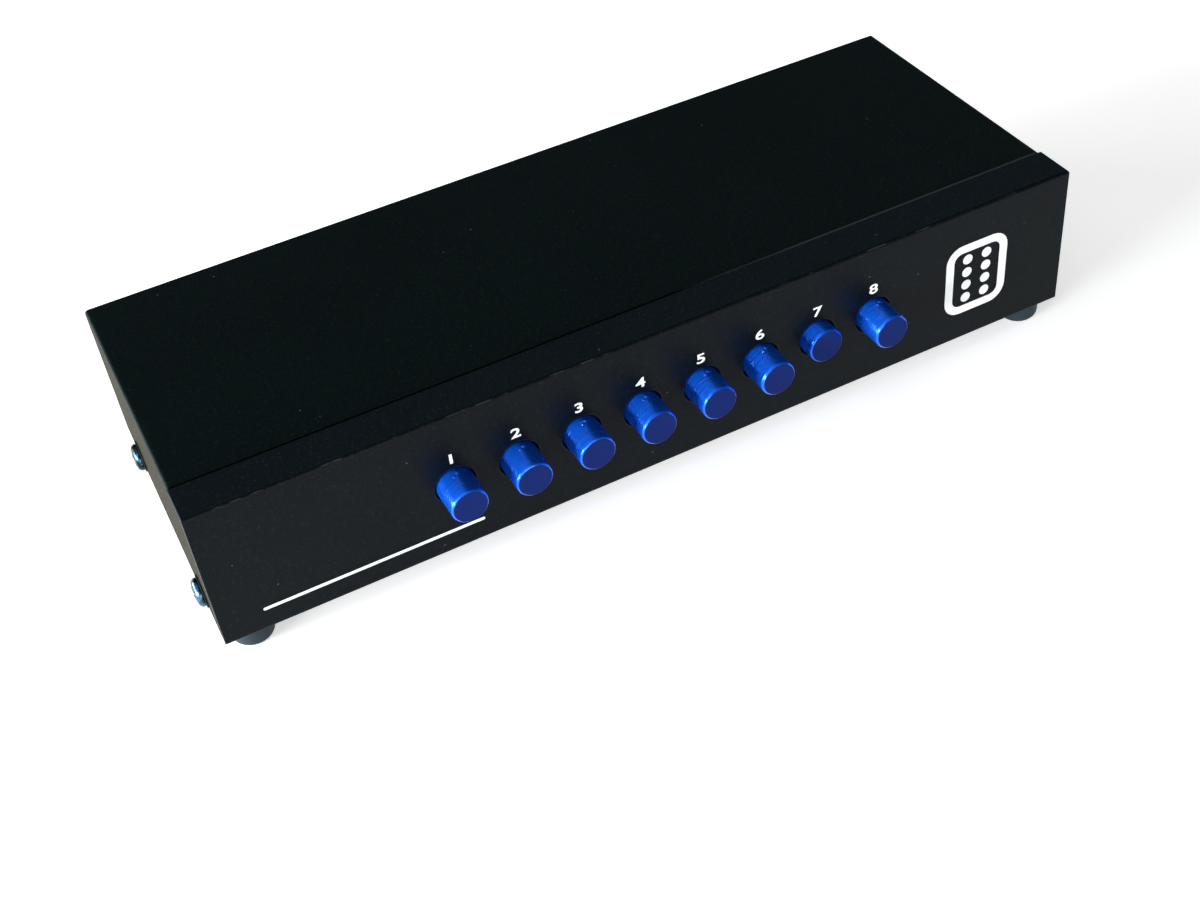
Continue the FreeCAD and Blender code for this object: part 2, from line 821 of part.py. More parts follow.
def jack_moulding(x, z, is_output):
    """What one jack adds to its block and what it cuts from it."""
    steps = output_collar_steps if is_output else input_collar_steps
    collars = [rod_y(radius, x, z, (rear_inner - cut_over, rear_face + reach)) for radius, reach in steps]
    beyond = collar_face(is_output) + cut_over
    root = rear_inner - barrel_root - jack_fit
    outer = rod_y(barrel_root_radius + jack_fit, x, z, (root, beyond))
    core = rod_y(barrel_inner_radius - jack_fit, x, z, (root, beyond))
    bore = rod_y(contact_radius + jack_fit, x, z, (tail_y_span(z)[0] - tail_groove_gap, beyond))
    groove_x = about(x, tail_half_width + tail_groove_gap)
    groove_y = (rear_inner - block_depth - cut_over, tail_y_span(z)[1] + tail_groove_gap)
    groove = box(groove_x, groove_y, (board_top - cut_over, z + tail_groove_gap))
    return collars, [outer.cut(core), bore, groove]


def make_jack_block(block_place, rows, top, is_output):
    """The moulded block behind the panel, with a stepped collar out through it for each jack."""
    half = jack_columns * jack_pitch / 2 - block_gap / 2
    body = box(about(block_place, half), (rear_inner - block_depth, rear_inner), (board_top, top))
    collars = []
    cuts = []
    for row in rows:
        for x in jack_columns_of(block_place):
            added, removed = jack_moulding(x, row, is_output)
            collars += added
            cuts += removed
    screw_tip = rear_face - jack_screw_length - jack_fit
    for x in jack_screw_places(block_place):
        cuts.append(rod_y(jack_screw_radius + thread_gap, x, jack_screw_height, (screw_tip, rear_face)))
    return [body.fuse(collars).removeSplitter().cut(cuts)]


def make_barrels(is_output):
    """The plated sleeves that a plug's shell grips, each with a rolled lip at its mouth."""
    mouth = jack_mouth(is_output)
    shoulder = collar_face(is_output) + jack_fit
    root = rear_inner - barrel_root
    solids = []
    for _, x, z, output in jack_places():
        if output != is_output:
            continue
        sleeve = rod_y(barrel_radius, x, z, (shoulder, mouth))
        edges = [edge for edge in sleeve.Edges if abs(edge.CenterOfMass.y - mouth) < 0.001]
        sleeve = sleeve.makeFillet(lip_rounding, edges)
        sleeve = sleeve.fuse(rod_y(barrel_root_radius, x, z, (root, shoulder)))
        inside = rod_y(barrel_inner_radius, x, z, (root - cut_over, mouth - lip_length))
        lip = rod_y(lip_inner_radius, x, z, (mouth - lip_length - cut_over, mouth + cut_over))
        solids.append(sleeve.removeSplitter().cut([inside, lip]))
    return solids


def make_inserts(wanted_column):
    """The coloured rings that fill the barrels' mouths and guide a plug's pin."""
    solids = []
    for column, x, z, is_output in jack_places():
        if column != wanted_column:
            continue
        y_span = (collar_face(is_output) + jack_fit, jack_mouth(is_output) - lip_length - jack_fit)
        front = jack_mouth(is_output) - insert_recess
        ring = rod_y(barrel_inner_radius - jack_fit, x, z, y_span)
        nose = rod_y(lip_inner_radius - jack_fit, x, z, (y_span[0], front))
        bore = rod_y(insert_bore_radius, x, z, (y_span[0] - cut_over, front + cut_over))
        solids.append(ring.fuse(nose).removeSplitter().cut(bore))
    return solids


def make_jack_contacts():
    """The sprung tube that takes a plug's pin, with a tail down to the board."""
    solids = []
    for _, x, z, is_output in jack_places():
        tail_y = tail_y_span(z)
        mouth = collar_face(is_output) - contact_short
        tube = rod_y(contact_radius, x, z, (tail_y[0], mouth))
        tail = box(about(x, tail_half_width), tail_y, (solder_end, z))
        bore = rod_y(contact_bore_radius, x, z, (tail_y[1], mouth + cut_over))
        solids.append(tube.fuse(tail).removeSplitter().cut(bore))
    return solids


def make_jack_screws():
    model = screw(jack_screw_head_radius, jack_screw_head_height, jack_screw_radius, jack_screw_length)
    solids = []
    for block_place in all_block_places:
        for x in jack_screw_places(block_place):
            solids.append(aimed(model, vector(1, 0, 0), -90, vector(x, rear_face, jack_screw_height)))
    return solids


def write_case():
    write("chassis", make_chassis())
    write("cover", make_cover())
    write("side_screws", make_side_screws())
    for corner, (x, y) in foot_places().items():
        write("foot_" + corner, make_foot(x, y))
    write("foot_screws", make_foot_screws())
    write("standoffs", make_standoffs())
    write("main_board", make_main_board())
    write("board_screws", make_board_screws())


def write_switch_bank():
    for number in range(1, button_count + 1):
        write("button_cap_%d" % number, make_button_cap(number))
        write("plunger_%d" % number, make_plunger(number))
        write("moving_contacts_%d" % number, make_moving_contacts(number))
        write("return_spring_%d" % number, make_return_spring(number))
    write("switch_bodies", make_switch_bodies())
    write("switch_terminals", make_switch_terminals())
    write("bank_frame", make_bank_frame())
    write("latch_bar", make_latch_bar())
    write("latch_bar_spring", make_latch_bar_spring())


def write_jacks():
    names = ("12", "34", "56", "78")
    rows = (jack_low_row, jack_high_row)
    for name, place in zip(names, input_block_places):
        top = jack_high_row + input_collar_steps[0][0] + block_crown
        write("input_jack_block_" + name, make_jack_block(place, rows, top, False))
    output_top = jack_screw_height + output_block_rise
    write("output_jack_block", make_jack_block(output_block_place, rows[:1], output_top, True))
    write("input_jack_barrels", make_barrels(False))
    write("output_jack_barrels", make_barrels(True))
    for column, channel in enumerate(("video", "left", "right")):
        write(channel + "_jack_inserts", make_inserts(column))
    write("jack_contacts", make_jack_contacts())
    write("jack_screws", make_jack_screws())


write_case()
write_switch_bank()
write_jacks()
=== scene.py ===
import functools
import math

import bmesh
import bpy
from bpy.props import FloatProperty, FloatVectorProperty, IntProperty, PointerProperty
from bpy.types import Operator, Panel, PropertyGroup
from mathutils import Matrix, Vector
from mathutils.bvhtree import BVHTree


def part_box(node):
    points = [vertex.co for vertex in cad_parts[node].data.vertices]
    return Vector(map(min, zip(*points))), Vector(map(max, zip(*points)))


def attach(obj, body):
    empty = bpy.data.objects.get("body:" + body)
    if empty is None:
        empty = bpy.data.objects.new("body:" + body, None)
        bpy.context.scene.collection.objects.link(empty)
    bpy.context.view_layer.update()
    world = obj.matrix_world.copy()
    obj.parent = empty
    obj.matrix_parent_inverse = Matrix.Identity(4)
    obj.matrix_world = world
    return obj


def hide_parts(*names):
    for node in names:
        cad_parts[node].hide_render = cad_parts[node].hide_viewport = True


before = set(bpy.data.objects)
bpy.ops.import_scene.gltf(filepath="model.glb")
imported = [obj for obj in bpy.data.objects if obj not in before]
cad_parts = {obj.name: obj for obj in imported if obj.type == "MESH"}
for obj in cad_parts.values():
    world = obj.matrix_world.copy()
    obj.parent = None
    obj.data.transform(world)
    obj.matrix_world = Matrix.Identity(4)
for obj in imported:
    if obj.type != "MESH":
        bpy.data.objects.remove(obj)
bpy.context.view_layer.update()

bl_info = {
    "name": "Selector Box Looks",
    "version": (1, 0, 0),
    "blender": (4, 5, 0),
    "location": "View3D > Sidebar > Selector Box",
    "description": "Finishes, prints and detailed pieces for an eight-way audio and video selector box",
    "category": "Object",
}

# Plain lengths are in millimetres, and the settings that a user sees are in metres
MM = 0.001
HAIR = 0.01
FORWARD = (0.0, -1.0, 0.0)
REARWARD = (0.0, 1.0, 0.0)
UPWARD = (0.0, 0.0, 1.0)

# The print on the front panel, measured from the middle of the case and from the ground
NUMERAL_ROW = 30.9
RULE_SPAN = (-99.2, -47.4)
RULE_HEIGHT = 10.9
RULE_THICKNESS = 0.8
RULE_ENDS = 0.39
MARK_MIDDLE = (83.5, 23.0)
MARK_SIZE = (17.4, 20.0)
MARK_CORNER = 4.4
MARK_BAND = 2.2
DOT_RADIUS = 1.35
DOT_PITCH = (5.4, 3.7)
DOT_COLUMNS = 2
DOT_ROWS = 4

# The print on the rear panel
LABEL_ROW = 8.0
AUDIO_LABEL = (17.4, 3.4)
AUDIO_CORNER = 0.7
LABEL_DOT = 0.75
VIDEO_RULE = (11.7, 0.7)
VIDEO_ENDS = 0.34
INPUT_MARK_OFFSET = 21.1
INPUT_MARK_ROWS = (22.8, 36.9)
NUMERAL_SHIFT = 0.9
POINTER_SHIFT = 0.95
POINTER = ((0.55, 0.85), (-0.75, 0.0), (0.55, -0.85))
BRACKET_BOX = (11.7, 3.6)
BRACKET_CORNER = 0.9
BRACKET_LINE = 0.22
BRACKET_ROW = 30.9
BRACKET_FOOT = 22.9
BRACKET_ARROW = ((1.1, 0.75), (0.0, -0.85), (-1.1, 0.75))

# Jacks, as their holes stand in the rear panel
JACK_PITCH = 14.0
LOW_ROW = 16.9
HIGH_ROW = 30.9
SCREW_ROW = 23.9
INPUT_BLOCKS = ("input_jack_block_12", "input_jack_block_34", "input_jack_block_56", "input_jack_block_78")
OUTPUT_BLOCK = "output_jack_block"
JACK_BLOCKS = INPUT_BLOCKS + (OUTPUT_BLOCK,)

# How far a jack's moulded collar and its sleeve stand out of the panel
INPUT_STAND = (2.85, 9.0)
OUTPUT_STAND = (7.45, 17.0)
SLEEVE_RADIUS = 4.15
SLEEVE_BORE = 3.65
SLEEVE_ROOT = 3.95
SLEEVE_DEPTH = 8.5
LIP_MOUTH = 3.46
RING_RADIUS = 3.6
RING_SHOULDER = 3.38
RING_HOLE = 1.65
RING_MOUTH = 2.15
JACK_SCREW_RADIUS = 2.25
JACK_SCREW_HEIGHT = 1.7

# Side screws, feet and caps
WASHER = 0.4
WASHER_RIM = 0.5
FOOT_BORE = 1.45
FOOT_WELL = 2.9
FOOT_WELL_DEPTH = 2.8
CAP_SOCKET = 1.66
CAP_RECESS = 2.0
CAP_WALL = 1.05
CAP_FACE_DEPTH = 0.08
FEET = ("foot_front_left", "foot_front_right", "foot_rear_left", "foot_rear_right")
BUTTONS = range(1, 9)

# Gate marks on a cap, as their distance from its base, their turn from its top and their relative size
GATE_MARKS = ((4.3, -0.15, 1.0), (5.1, 0.10, 0.6))

# Bends between two faces, in degrees: those that are flat, shaded sharp, eased, and beside a recess
FLAT_BEND = 0.5
SHADED_BEND = 38
EASED_BEND = 40
RECESS_BEND = 48

# How squarely a face looks along an axis on flat sheet, and how much it does on the front fold
SQUARE_ON = 0.95
FOLD_SLOPE = 0.6

# Colours that lie in or under a finish
DUST = (0.12, 0.125, 0.13)
COAT_IN_PINHOLES = (0.05, 0.055, 0.06)
BLUE_CAST = (0.05, 0.13, 0.20)
RUBBED_STEEL = (0.30, 0.46, 0.56)


def coloured(name, description, default):
    """A setting that holds a colour."""
    return FloatVectorProperty(
        name=name, description=description, subtype="COLOR", size=3, default=default, min=0.0, max=1.0,
    )


def measured(name, description, default):
    """A setting that holds a length in metres."""
    return FloatProperty(name=name, description=description, unit="LENGTH", default=default, min=0.0)


class CaseLooks(PropertyGroup):
    """The steel case and what closes and carries it."""

    chassis_coat: coloured("Chassis coat", "Colour of the coat on the chassis", (0.0011, 0.0021, 0.0027))
    cover_coat: coloured("Cover coat", "Colour of the coat on the cover's roof", (0.0014, 0.0034, 0.0036))
    # Painted sheen: the sides are the same coat as the roof, painted paler and olive for the light that they
    # reflect
    side_coat: coloured("Side coat with painted sheen", "Colour of the coat on the cover's sides", (0.0085, 0.0078, 0.0050))
    bare_edge: coloured("Thin edge", "Colour where the coat is thin over an edge", (0.010, 0.012, 0.013))
    edge_radius: measured("Edge radius", "Rounding that the coat leaves on sheared edges", 0.00014)
    # the dark line beside the front strip is painted shade
    seam_width: measured("Seam", "Width of the dark line beside the front strip", 0.0008)
    rubber: coloured("Rubber", "Colour of the feet", (0.0070, 0.0150, 0.0205))
    black_screw: coloured("Black screw", "Colour of the blackened screws", (0.014, 0.018, 0.024))


class PrintLooks(PropertyGroup):
    """The screen print on both panels."""

    ink: coloured("Ink", "Colour of the lines and numerals", (0.95, 0.98, 0.98))
    label: coloured("Label", "Colour of the filled boxes on the rear panel", (0.50, 0.57, 0.59))
    thickness: measured("Thickness", "How proud the ink stands", 0.00003)
    front_numeral: measured("Front numeral", "Height of the numerals over the buttons", 0.0026)
    rear_numeral: measured("Rear numeral", "Height of the numerals beside the jacks", 0.0018)


class ButtonLooks(PropertyGroup):
    """The push buttons."""

    blue: coloured("Blue", "Colour of the moulded caps", (0.003, 0.122, 0.88))
    # Painted shade: the faces are the same blue moulding as the sides, painted darker for the shade they
    # stand in
    dull_blue: coloured("Face blue with painted shade", "Colour of the caps' fine-textured faces", (0.003, 0.013, 0.100))
    nub: measured("Nub", "Radius of the gate marks near a cap's base", 0.0004)
    segments: IntProperty(name="Segments", description="Sides of a cap", default=64, min=12, max=256)


class JackLooks(PropertyGroup):
    """The coaxial jacks and their screws."""

    nickel: coloured("Nickel", "Colour of the plated sleeves", (0.72, 0.69, 0.63))
    yellow: coloured("Yellow", "Colour of the video rings", (0.66, 0.41, 0.004))
    white: coloured("White", "Colour of the left rings", (0.74, 0.74, 0.71))
    red: coloured("Red", "Colour of the right rings", (0.30, 0.006, 0.010))
    segments: IntProperty(
        name="Segments", description="Sides of a sleeve or ring", default=48, min=12, max=128,
    )


class StageLooks(PropertyGroup):
    """Camera, floor and world."""

    camera_place: FloatVectorProperty(
        name="Camera", description="Where the camera stands", subtype="XYZ", unit="LENGTH", size=3,
        default=(-0.12146, -0.29735, 0.26471),
    )
    azimuth: FloatProperty(
        name="Azimuth", description="Turn of the camera about the vertical", subtype="ANGLE",
        default=math.radians(-22.298),
    )
    elevation: FloatProperty(
        name="Elevation", description="How far the camera looks down", subtype="ANGLE",
        default=math.radians(41.582),
    )
    roll: FloatProperty(
        name="Roll", description="Turn of the camera about its own axis", subtype="ANGLE",
        default=math.radians(-6.990),
    )
    lens: FloatProperty(name="Lens", description="Focal length on a 36 mm sensor", default=49.43, min=1.0)
    shift: FloatVectorProperty(
        name="Shift", description="Lens shift as a share of the frame's width", size=2,
        default=(0.0012, -0.017),
    )
    floor: coloured("Floor", "Colour of the floor", (0.93, 0.93, 0.93))
    floor_lift: FloatProperty(
        name="Floor lift", description="White added to the floor as it is seen", default=0.55,
    )
    horizon: FloatProperty(
        name="Horizon", description="Brightness of the world near the horizon", default=0.10,
    )
    zenith: FloatProperty(name="Zenith", description="Brightness of the world overhead", default=0.075)


class Signal:
    """A shader socket that can stand in a Python expression."""

    def __init__(self, shading, socket):
        self.shading = shading
        self.socket = socket

    def maths(self, operation, first, second):
        return self.shading.node("ShaderNodeMath", {"operation": operation}, {0: first, 1: second})

    def __add__(self, other):
        return self.maths("ADD", self, other)

    __radd__ = __add__

    def __sub__(self, other):
        return self.maths("SUBTRACT", self, other)

    def __rsub__(self, other):
        return self.maths("SUBTRACT", other, self)

    def __mul__(self, other):
        return self.maths("MULTIPLY", self, other)

    __rmul__ = __mul__

    def at_least(self, other):
        return self.maths("MAXIMUM", self, other)


class Shading:
    """The shader nodes of a material or of the world."""

    def __init__(self, owner):
        owner.use_nodes = True
        self.tree = owner.node_tree
        self.tree.nodes.clear()

    def node(self, kind, settings=None, sockets=None, output=0):
        """Adds a node: first its settings, then the values or links of its sockets."""
        made = self.tree.nodes.new(kind)
        for setting, value in (settings or {}).items():
            if setting == "stops":
                self.fill_ramp(made.color_ramp, value)
            else:
                setattr(made, setting, value)
        for socket, value in (sockets or {}).items():
            if isinstance(value, Signal):
                self.tree.links.new(value.socket, made.inputs[socket])
            else:
                made.inputs[socket].default_value = value
        return Signal(self, made.outputs[output]) if made.outputs else None

    @staticmethod
    def fill_ramp(ramp, stops):
        while len(ramp.elements) < len(stops):
            ramp.elements.new(0.5)
        for element, (place, shade) in zip(ramp.elements, stops):
            element.position = place
            element.color = (shade, shade, shade, 1.0)


class Finish(Shading):
    """A material, with the patterns that the finishes are made of."""

    def __init__(self, name):
        self.material = bpy.data.materials.new(name)
        super().__init__(self.material)
        self.place = self.node("ShaderNodeTexCoord", output="Object")

    def stretched(self, scale):
        """The point on the piece, with each axis scaled by its own factor."""
        return self.node("ShaderNodeVectorMath", {"operation": "MULTIPLY"}, {0: self.place, 1: scale})

    def noise(self, scale, detail=2.0, roughness=0.5, place=None):
        sockets = {"Vector": place or self.place, "Scale": scale, "Detail": detail, "Roughness": roughness}
        return self.node("ShaderNodeTexNoise", None, sockets, "Fac")

    def specks(self, scale, size):
        """Sparse small dots: 1 in a dot and 0 elsewhere."""
        distance = self.node("ShaderNodeTexVoronoi", None, {"Vector": self.place, "Scale": scale}, "Distance")
        return self.ramp(distance, ((size * 0.6, 1.0), (size, 0.0)))

    def ramp(self, signal, stops):
        return self.node("ShaderNodeValToRGB", {"stops": stops}, {"Fac": signal}, "Color")

    def mix(self, share, first, second):
        """A colour between two, by a share that varies over the surface."""
        sockets = {0: share, 6: opaque(first), 7: opaque(second)}
        return self.node("ShaderNodeMix", {"data_type": "RGBA"}, sockets, 2)

    def bump(self, height, strength, distance):
        sockets = {"Height": height, "Strength": strength, "Distance": distance}
        return self.node("ShaderNodeBump", None, sockets, "Normal")

    def surface(self, colour, roughness, normal=None, gloss=0.5, metallic=0.0, glow=None):
        """The finished material. Gloss and metallic are numbers that are the same all over."""
        sockets = {
            "Base Color": opaque(colour), "Roughness": roughness,
            "Specular IOR Level": gloss, "Metallic": metallic,
        }
        if normal is not None:
            sockets["Normal"] = normal
        shader = self.node("ShaderNodeBsdfPrincipled", None, sockets)
        if glow is not None:
            shader = self.node("ShaderNodeAddShader", None, {0: shader, 1: glow})
        self.node("ShaderNodeOutputMaterial", None, {"Surface": shader})
        return self.material


def opaque(colour):
    """A colour with its alpha, or the signal as it is."""
    return colour if isinstance(colour, Signal) else (*tuple(colour)[:3], 1.0)


def shaded(colour, factor):
    return tuple(min(1.0, channel * factor) for channel in tuple(colour)[:3])


def powder_coat(name, colour, gloss=0.072, extra_roughness=0.0, wear_and_highlight_flecks=None, mottling=0.0):
    """Fine-textured powder coat with a little dust and handling, and flecks of a colour if one is given:
    wear, which on the front fold also paints a highlight.
    """
    coat = Finish(name)
    grain = coat.noise(2700.0, 3.0, 0.6)
    ripple = coat.noise(520.0, 2.0)
    handling = coat.noise(11.0, 4.0, 0.6)
    dust = coat.specks(130.0, 0.035) * coat.noise(40.0)
    pepper = coat.ramp(coat.noise(1500.0, 2.0, 0.7), ((0.56, 0.0), (0.70, 1.0)))
    normal = coat.bump(grain * 0.75 + ripple * 0.25, 0.34, 0.00009)
    tinted = coat.mix(handling * 0.3 + pepper * 0.7, colour, shaded(colour, 5.0))
    dusted = coat.mix(dust, tinted, DUST)
    if wear_and_highlight_flecks:
        # flecks of wear, which on the front fold also stand for a painted highlight
        wear_and_highlight_mask = coat.ramp(coat.noise(130.0, 7.0, 0.75), ((0.53, 0.0), (0.60, 1.0)))
        dusted = coat.mix(wear_and_highlight_mask, dusted, wear_and_highlight_flecks)
    roughness = 0.30 + extra_roughness + handling * 0.08 + grain * 0.08 - pepper * mottling
    return coat.surface(dusted, roughness, normal, gloss=gloss)


def seam_shadow(name, dark, pale):
    """Painted shade in the gap beside the front strip: dark at the left, with a painted highlight towards the
    right.
    """
    seam = Finish(name)
    along = seam.node("ShaderNodeSeparateXYZ", None, {0: seam.place}, "X")
    # painted highlight: the seam is painted pale towards the right
    catching = seam.ramp(along * 9.0 + seam.noise(60.0, 3.0) * 0.3, ((0.20, 0.0), (0.55, 1.0)))
    return seam.surface(seam.mix(catching, dark, pale), 0.5, gloss=0.02)


def printed_ink(name, colour):
    """Screen-printed ink, slightly uneven, with pinholes down to the coat."""
    ink = Finish(name)
    cover = ink.noise(1800.0, 2.0)
    pinholes = ink.specks(1500.0, 0.05)
    body = ink.mix(cover * 0.5, colour, shaded(colour, 0.86))
    pricked = ink.mix(pinholes, body, COAT_IN_PINHOLES)
    normal = ink.bump(cover, 0.25, 0.00003)
    return ink.surface(pricked, 0.5 + cover * 0.1, normal, gloss=0.3)


def rubber(name, colour):
    """Moulded rubber with a pale bloom."""
    rub = Finish(name)
    grain = rub.noise(1900.0, 4.0, 0.65)
    bloom = rub.noise(260.0, 3.0)
    tinted = rub.mix(bloom * 0.7, colour, shaded(colour, 2.2))
    normal = rub.bump(grain, 0.5, 0.00008)
    return rub.surface(tinted, 0.5 + bloom * 0.18, normal, gloss=0.25)


def blackened_metal(name, colour):
    """Black zinc on a screw, with a blue cast and rubbed high spots."""
    metal = Finish(name)
    rubbed = metal.noise(900.0, 3.0)
    blotch = metal.noise(420.0, 2.0)
    tinted = metal.mix(metal.ramp(blotch, ((0.40, 0.0), (0.66, 1.0))), colour, BLUE_CAST)
    worn = metal.mix(metal.ramp(rubbed, ((0.60, 0.0), (0.76, 1.0))), tinted, RUBBED_STEEL)
    normal = metal.bump(rubbed, 0.2, 0.00004)
    return metal.surface(worn, 0.18 + blotch * 0.16, normal, metallic=1.0)


def plated_metal(name, colour, other, roughness):
    """Plated or passivated metal: two tones that drift into each other, and fine scratches."""
    metal = Finish(name)
    drift = metal.noise(210.0, 3.0)
    grain = metal.noise(1400.0, 4.0, 0.6)
    tinted = metal.mix(metal.ramp(drift, ((0.35, 0.0), (0.65, 1.0))), colour, other)
    normal = metal.bump(grain, 0.18, 0.00003)
    return metal.surface(tinted, roughness + grain * 0.14, normal, metallic=1.0)


def turned_metal(name, colour, roughness, line_scale):
    """Plated metal with faint turning lines that run round it."""
    metal = Finish(name)
    lines = metal.noise(1.0, 2.0, place=metal.stretched((60.0, line_scale, 60.0)))
    rings = metal.noise(1.0, 2.0, place=metal.stretched((90.0, 5200.0, 90.0)))
    tarnish = metal.noise(330.0, 3.0)
    tinted = metal.mix(tarnish * 0.8 + lines * 0.1, colour, shaded(colour, 0.72))
    normal = metal.bump(rings, 0.22, 0.00003)
    return metal.surface(tinted, roughness + tarnish * 0.12, normal, metallic=1.0)


def turned_plastic(name, colour, roughness, gloss, metallic):
    """Pearly plastic from a turned mould: fine rings run round it and catch the light in a streak."""
    plastic = Finish(name)
    rings = plastic.noise(1.0, 3.0, 0.6, place=plastic.stretched((60.0, 2600.0, 60.0)))
    blotch = plastic.noise(900.0, 3.0)
    tinted = plastic.mix(blotch * 0.5, colour, shaded(colour, 1.3))
    normal = plastic.bump(rings * 0.95 + blotch * 0.05, 0.45, 0.0005)
    return plastic.surface(tinted, roughness + blotch * 0.1, normal, gloss=gloss, metallic=metallic)


def moulded_plastic(name, colour, roughness, gloss, texture=0.25, texture_scale=1100.0):
    """Injection-moulded plastic: a fine bloom in the gloss, faint flow marks in the colour."""
    plastic = Finish(name)
    bloom = plastic.noise(texture_scale, 3.0, 0.55)
    flow = plastic.noise(160.0, 3.0, place=plastic.stretched((1.0, 0.35, 1.0)))
    tinted = plastic.mix(flow * 0.6, colour, shaded(colour, 1.35))
    normal = plastic.bump(bloom, texture, 0.00004)
    return plastic.surface(tinted, roughness + bloom * 0.12, normal, gloss=gloss)


def circuit_laminate(name):
    """Green solder mask over copper tracks on a glass laminate."""
    board = Finish(name)
    sockets = {"Vector": board.place, "Scale": 90.0, "Distortion": 14.0, "Detail": 1.0, "Detail Scale": 22.0}
    tracks = board.node("ShaderNodeTexWave", {"bands_direction": "X"}, sockets, "Fac")
    weave = board.noise(1500.0, 2.0)
    copper = board.ramp(tracks, ((0.55, 0.0), (0.62, 1.0)))
    tinted = board.mix(copper, (0.010, 0.085, 0.035), (0.030, 0.20, 0.060))
    normal = board.bump(copper * 0.7 + weave * 0.3, 0.3, 0.00004)
    return board.surface(tinted, 0.32 + weave * 0.1, normal, gloss=0.5)


def floor_paint(name, colour, lift):
    """Matt white paint that glows where it is seen, more so far away, and keeps the object's shadow."""
    floor = Finish(name)
    cloud = floor.noise(1.5, 2.0)
    tinted = floor.mix(cloud * 0.2, colour, shaded(colour, 0.985))
    rays = ("Is Camera Ray", "Is Glossy Ray", "Is Transmission Ray")
    camera, glossy, through = [floor.node("ShaderNodeLightPath", output=ray) for ray in rays]
    far = floor.node("ShaderNodeVectorMath", {"operation": "LENGTH"}, {0: floor.place}, "Value")
    white = floor.ramp(far * 0.25, ((0.05, lift), (0.5, 1.0)))
    glow = floor.node("ShaderNodeEmission", None, {"Color": white, "Strength": camera + glossy + through})
    return floor.surface(tinted, 0.75 + cloud * 0.05, gloss=0.1, glow=glow)


def circle_outline(radius, steps=32):
    angles = [2 * math.pi * step / steps for step in range(steps)]
    return [(radius * math.cos(angle), radius * math.sin(angle)) for angle in angles]


def rounded_outline(width, height, radius, steps=6):
    """The corners of a rounded rectangle about the origin."""
    points = []
    for quarter, (side_x, side_y) in enumerate(((1, 1), (-1, 1), (-1, -1), (1, -1))):
        middle = (side_x * (width / 2 - radius), side_y * (height / 2 - radius))
        for step in range(steps + 1):
            angle = math.pi / 2 * (quarter + step / steps)
            points.append((middle[0] + radius * math.cos(angle), middle[1] + radius * math.sin(angle)))
    return points


def eased(corners, closed, steps=4):
    """Profile points. A corner is (radius, height, easing) and a short curve replaces it."""
    points = []
    for index, (radius, height, easing) in enumerate(corners):
        here = Vector((radius, height))
        if easing <= 0 or (not closed and index in (0, len(corners) - 1)):
            points.append(here)
            continue
        before = Vector(corners[index - 1][:2]) - here
        after = Vector(corners[(index + 1) % len(corners)][:2]) - here
        start = here + before.normalized() * min(easing, before.length * 0.45)
        end = here + after.normalized() * min(easing, after.length * 0.45)
        for step in range(steps + 1):
            share = step / steps
            points.append(start * (1 - share) ** 2 + here * (2 * share * (1 - share)) + end * share ** 2)
    return points


def turned(bm, corners, place, segments, closed=False):
    """Spins a profile in millimetres about the z axis of a place, and returns its faces."""
    rings = []
    for radius, height in eased(corners, closed):
        circle = circle_outline(radius, segments) if radius > HAIR else [(0.0, 0.0)]
        rings.append([bm.verts.new(place @ (Vector((x, y, height)) * MM)) for x, y in circle])
    pairs = list(zip(rings, rings[1:]))
    if closed:
        pairs.append((rings[-1], rings[0]))
    faces = []
    for low, high in pairs:
        for side in range(segments):
            following = (side + 1) % segments
            if len(low) == 1:
                around = (low[0], high[following], high[side])
            elif len(high) == 1:
                around = (low[side], low[following], high[0])
            else:
                around = (low[side], low[following], high[following], high[side])
            faces.append(bm.faces.new(around))
    return faces


def facing(place, away, up=UPWARD):
    """A matrix at a place in millimetres whose z axis points away and whose y axis is near up."""
    z_axis = Vector(away).normalized()
    x_axis = Vector(up).cross(z_axis).normalized()
    y_axis = z_axis.cross(x_axis)
    matrix = Matrix((x_axis, y_axis, z_axis)).transposed().to_4x4()
    matrix.translation = Vector(place) * MM
    return matrix


def in_scene(name, data):
    """A new object, linked to the scene."""
    item = bpy.data.objects.new(name, data)
    bpy.context.scene.collection.objects.link(item)
    return item


def make_piece(name, bm, finishes, body, stands_for=(), even_flats=False):
    """Turns a bmesh into a named piece that rides on a body."""
    bmesh.ops.recalc_face_normals(bm, faces=bm.faces)
    mesh = bpy.data.meshes.new(name)
    bm.to_mesh(mesh)
    bm.free()
    mesh.shade_smooth()
    mesh.set_sharp_from_angle(angle=math.radians(SHADED_BEND))
    piece = in_scene(name, mesh)
    for finish in finishes:
        mesh.materials.append(finish)
    if even_flats:
        weighted = piece.modifiers.new("even flats", "WEIGHTED_NORMAL")
        weighted.keep_sharp = True
    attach(piece, body)
    if stands_for:
        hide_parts(*stands_for)
    return piece


@functools.cache
def box(node):
    """The corners of a CAD node, read once."""
    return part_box(node)


def middle_of(node):
    low, high = box(node)
    return (low + high) / 2 / MM


def on_front(x, z):
    """A place on the front panel that looks forward."""
    return facing((x, box("chassis")[0].y / MM, z), FORWARD)


def on_rear(x, z):
    """A place on the rear panel that looks to the rear."""
    return facing((x, box("chassis")[1].y / MM, z), REARWARD)


def edges_bent_over(bm, bend):
    """The edges whose two faces turn by more than a bend."""
    return [edge for edge in bm.edges if edge.is_manifold and edge.calc_face_angle() > math.radians(bend)]


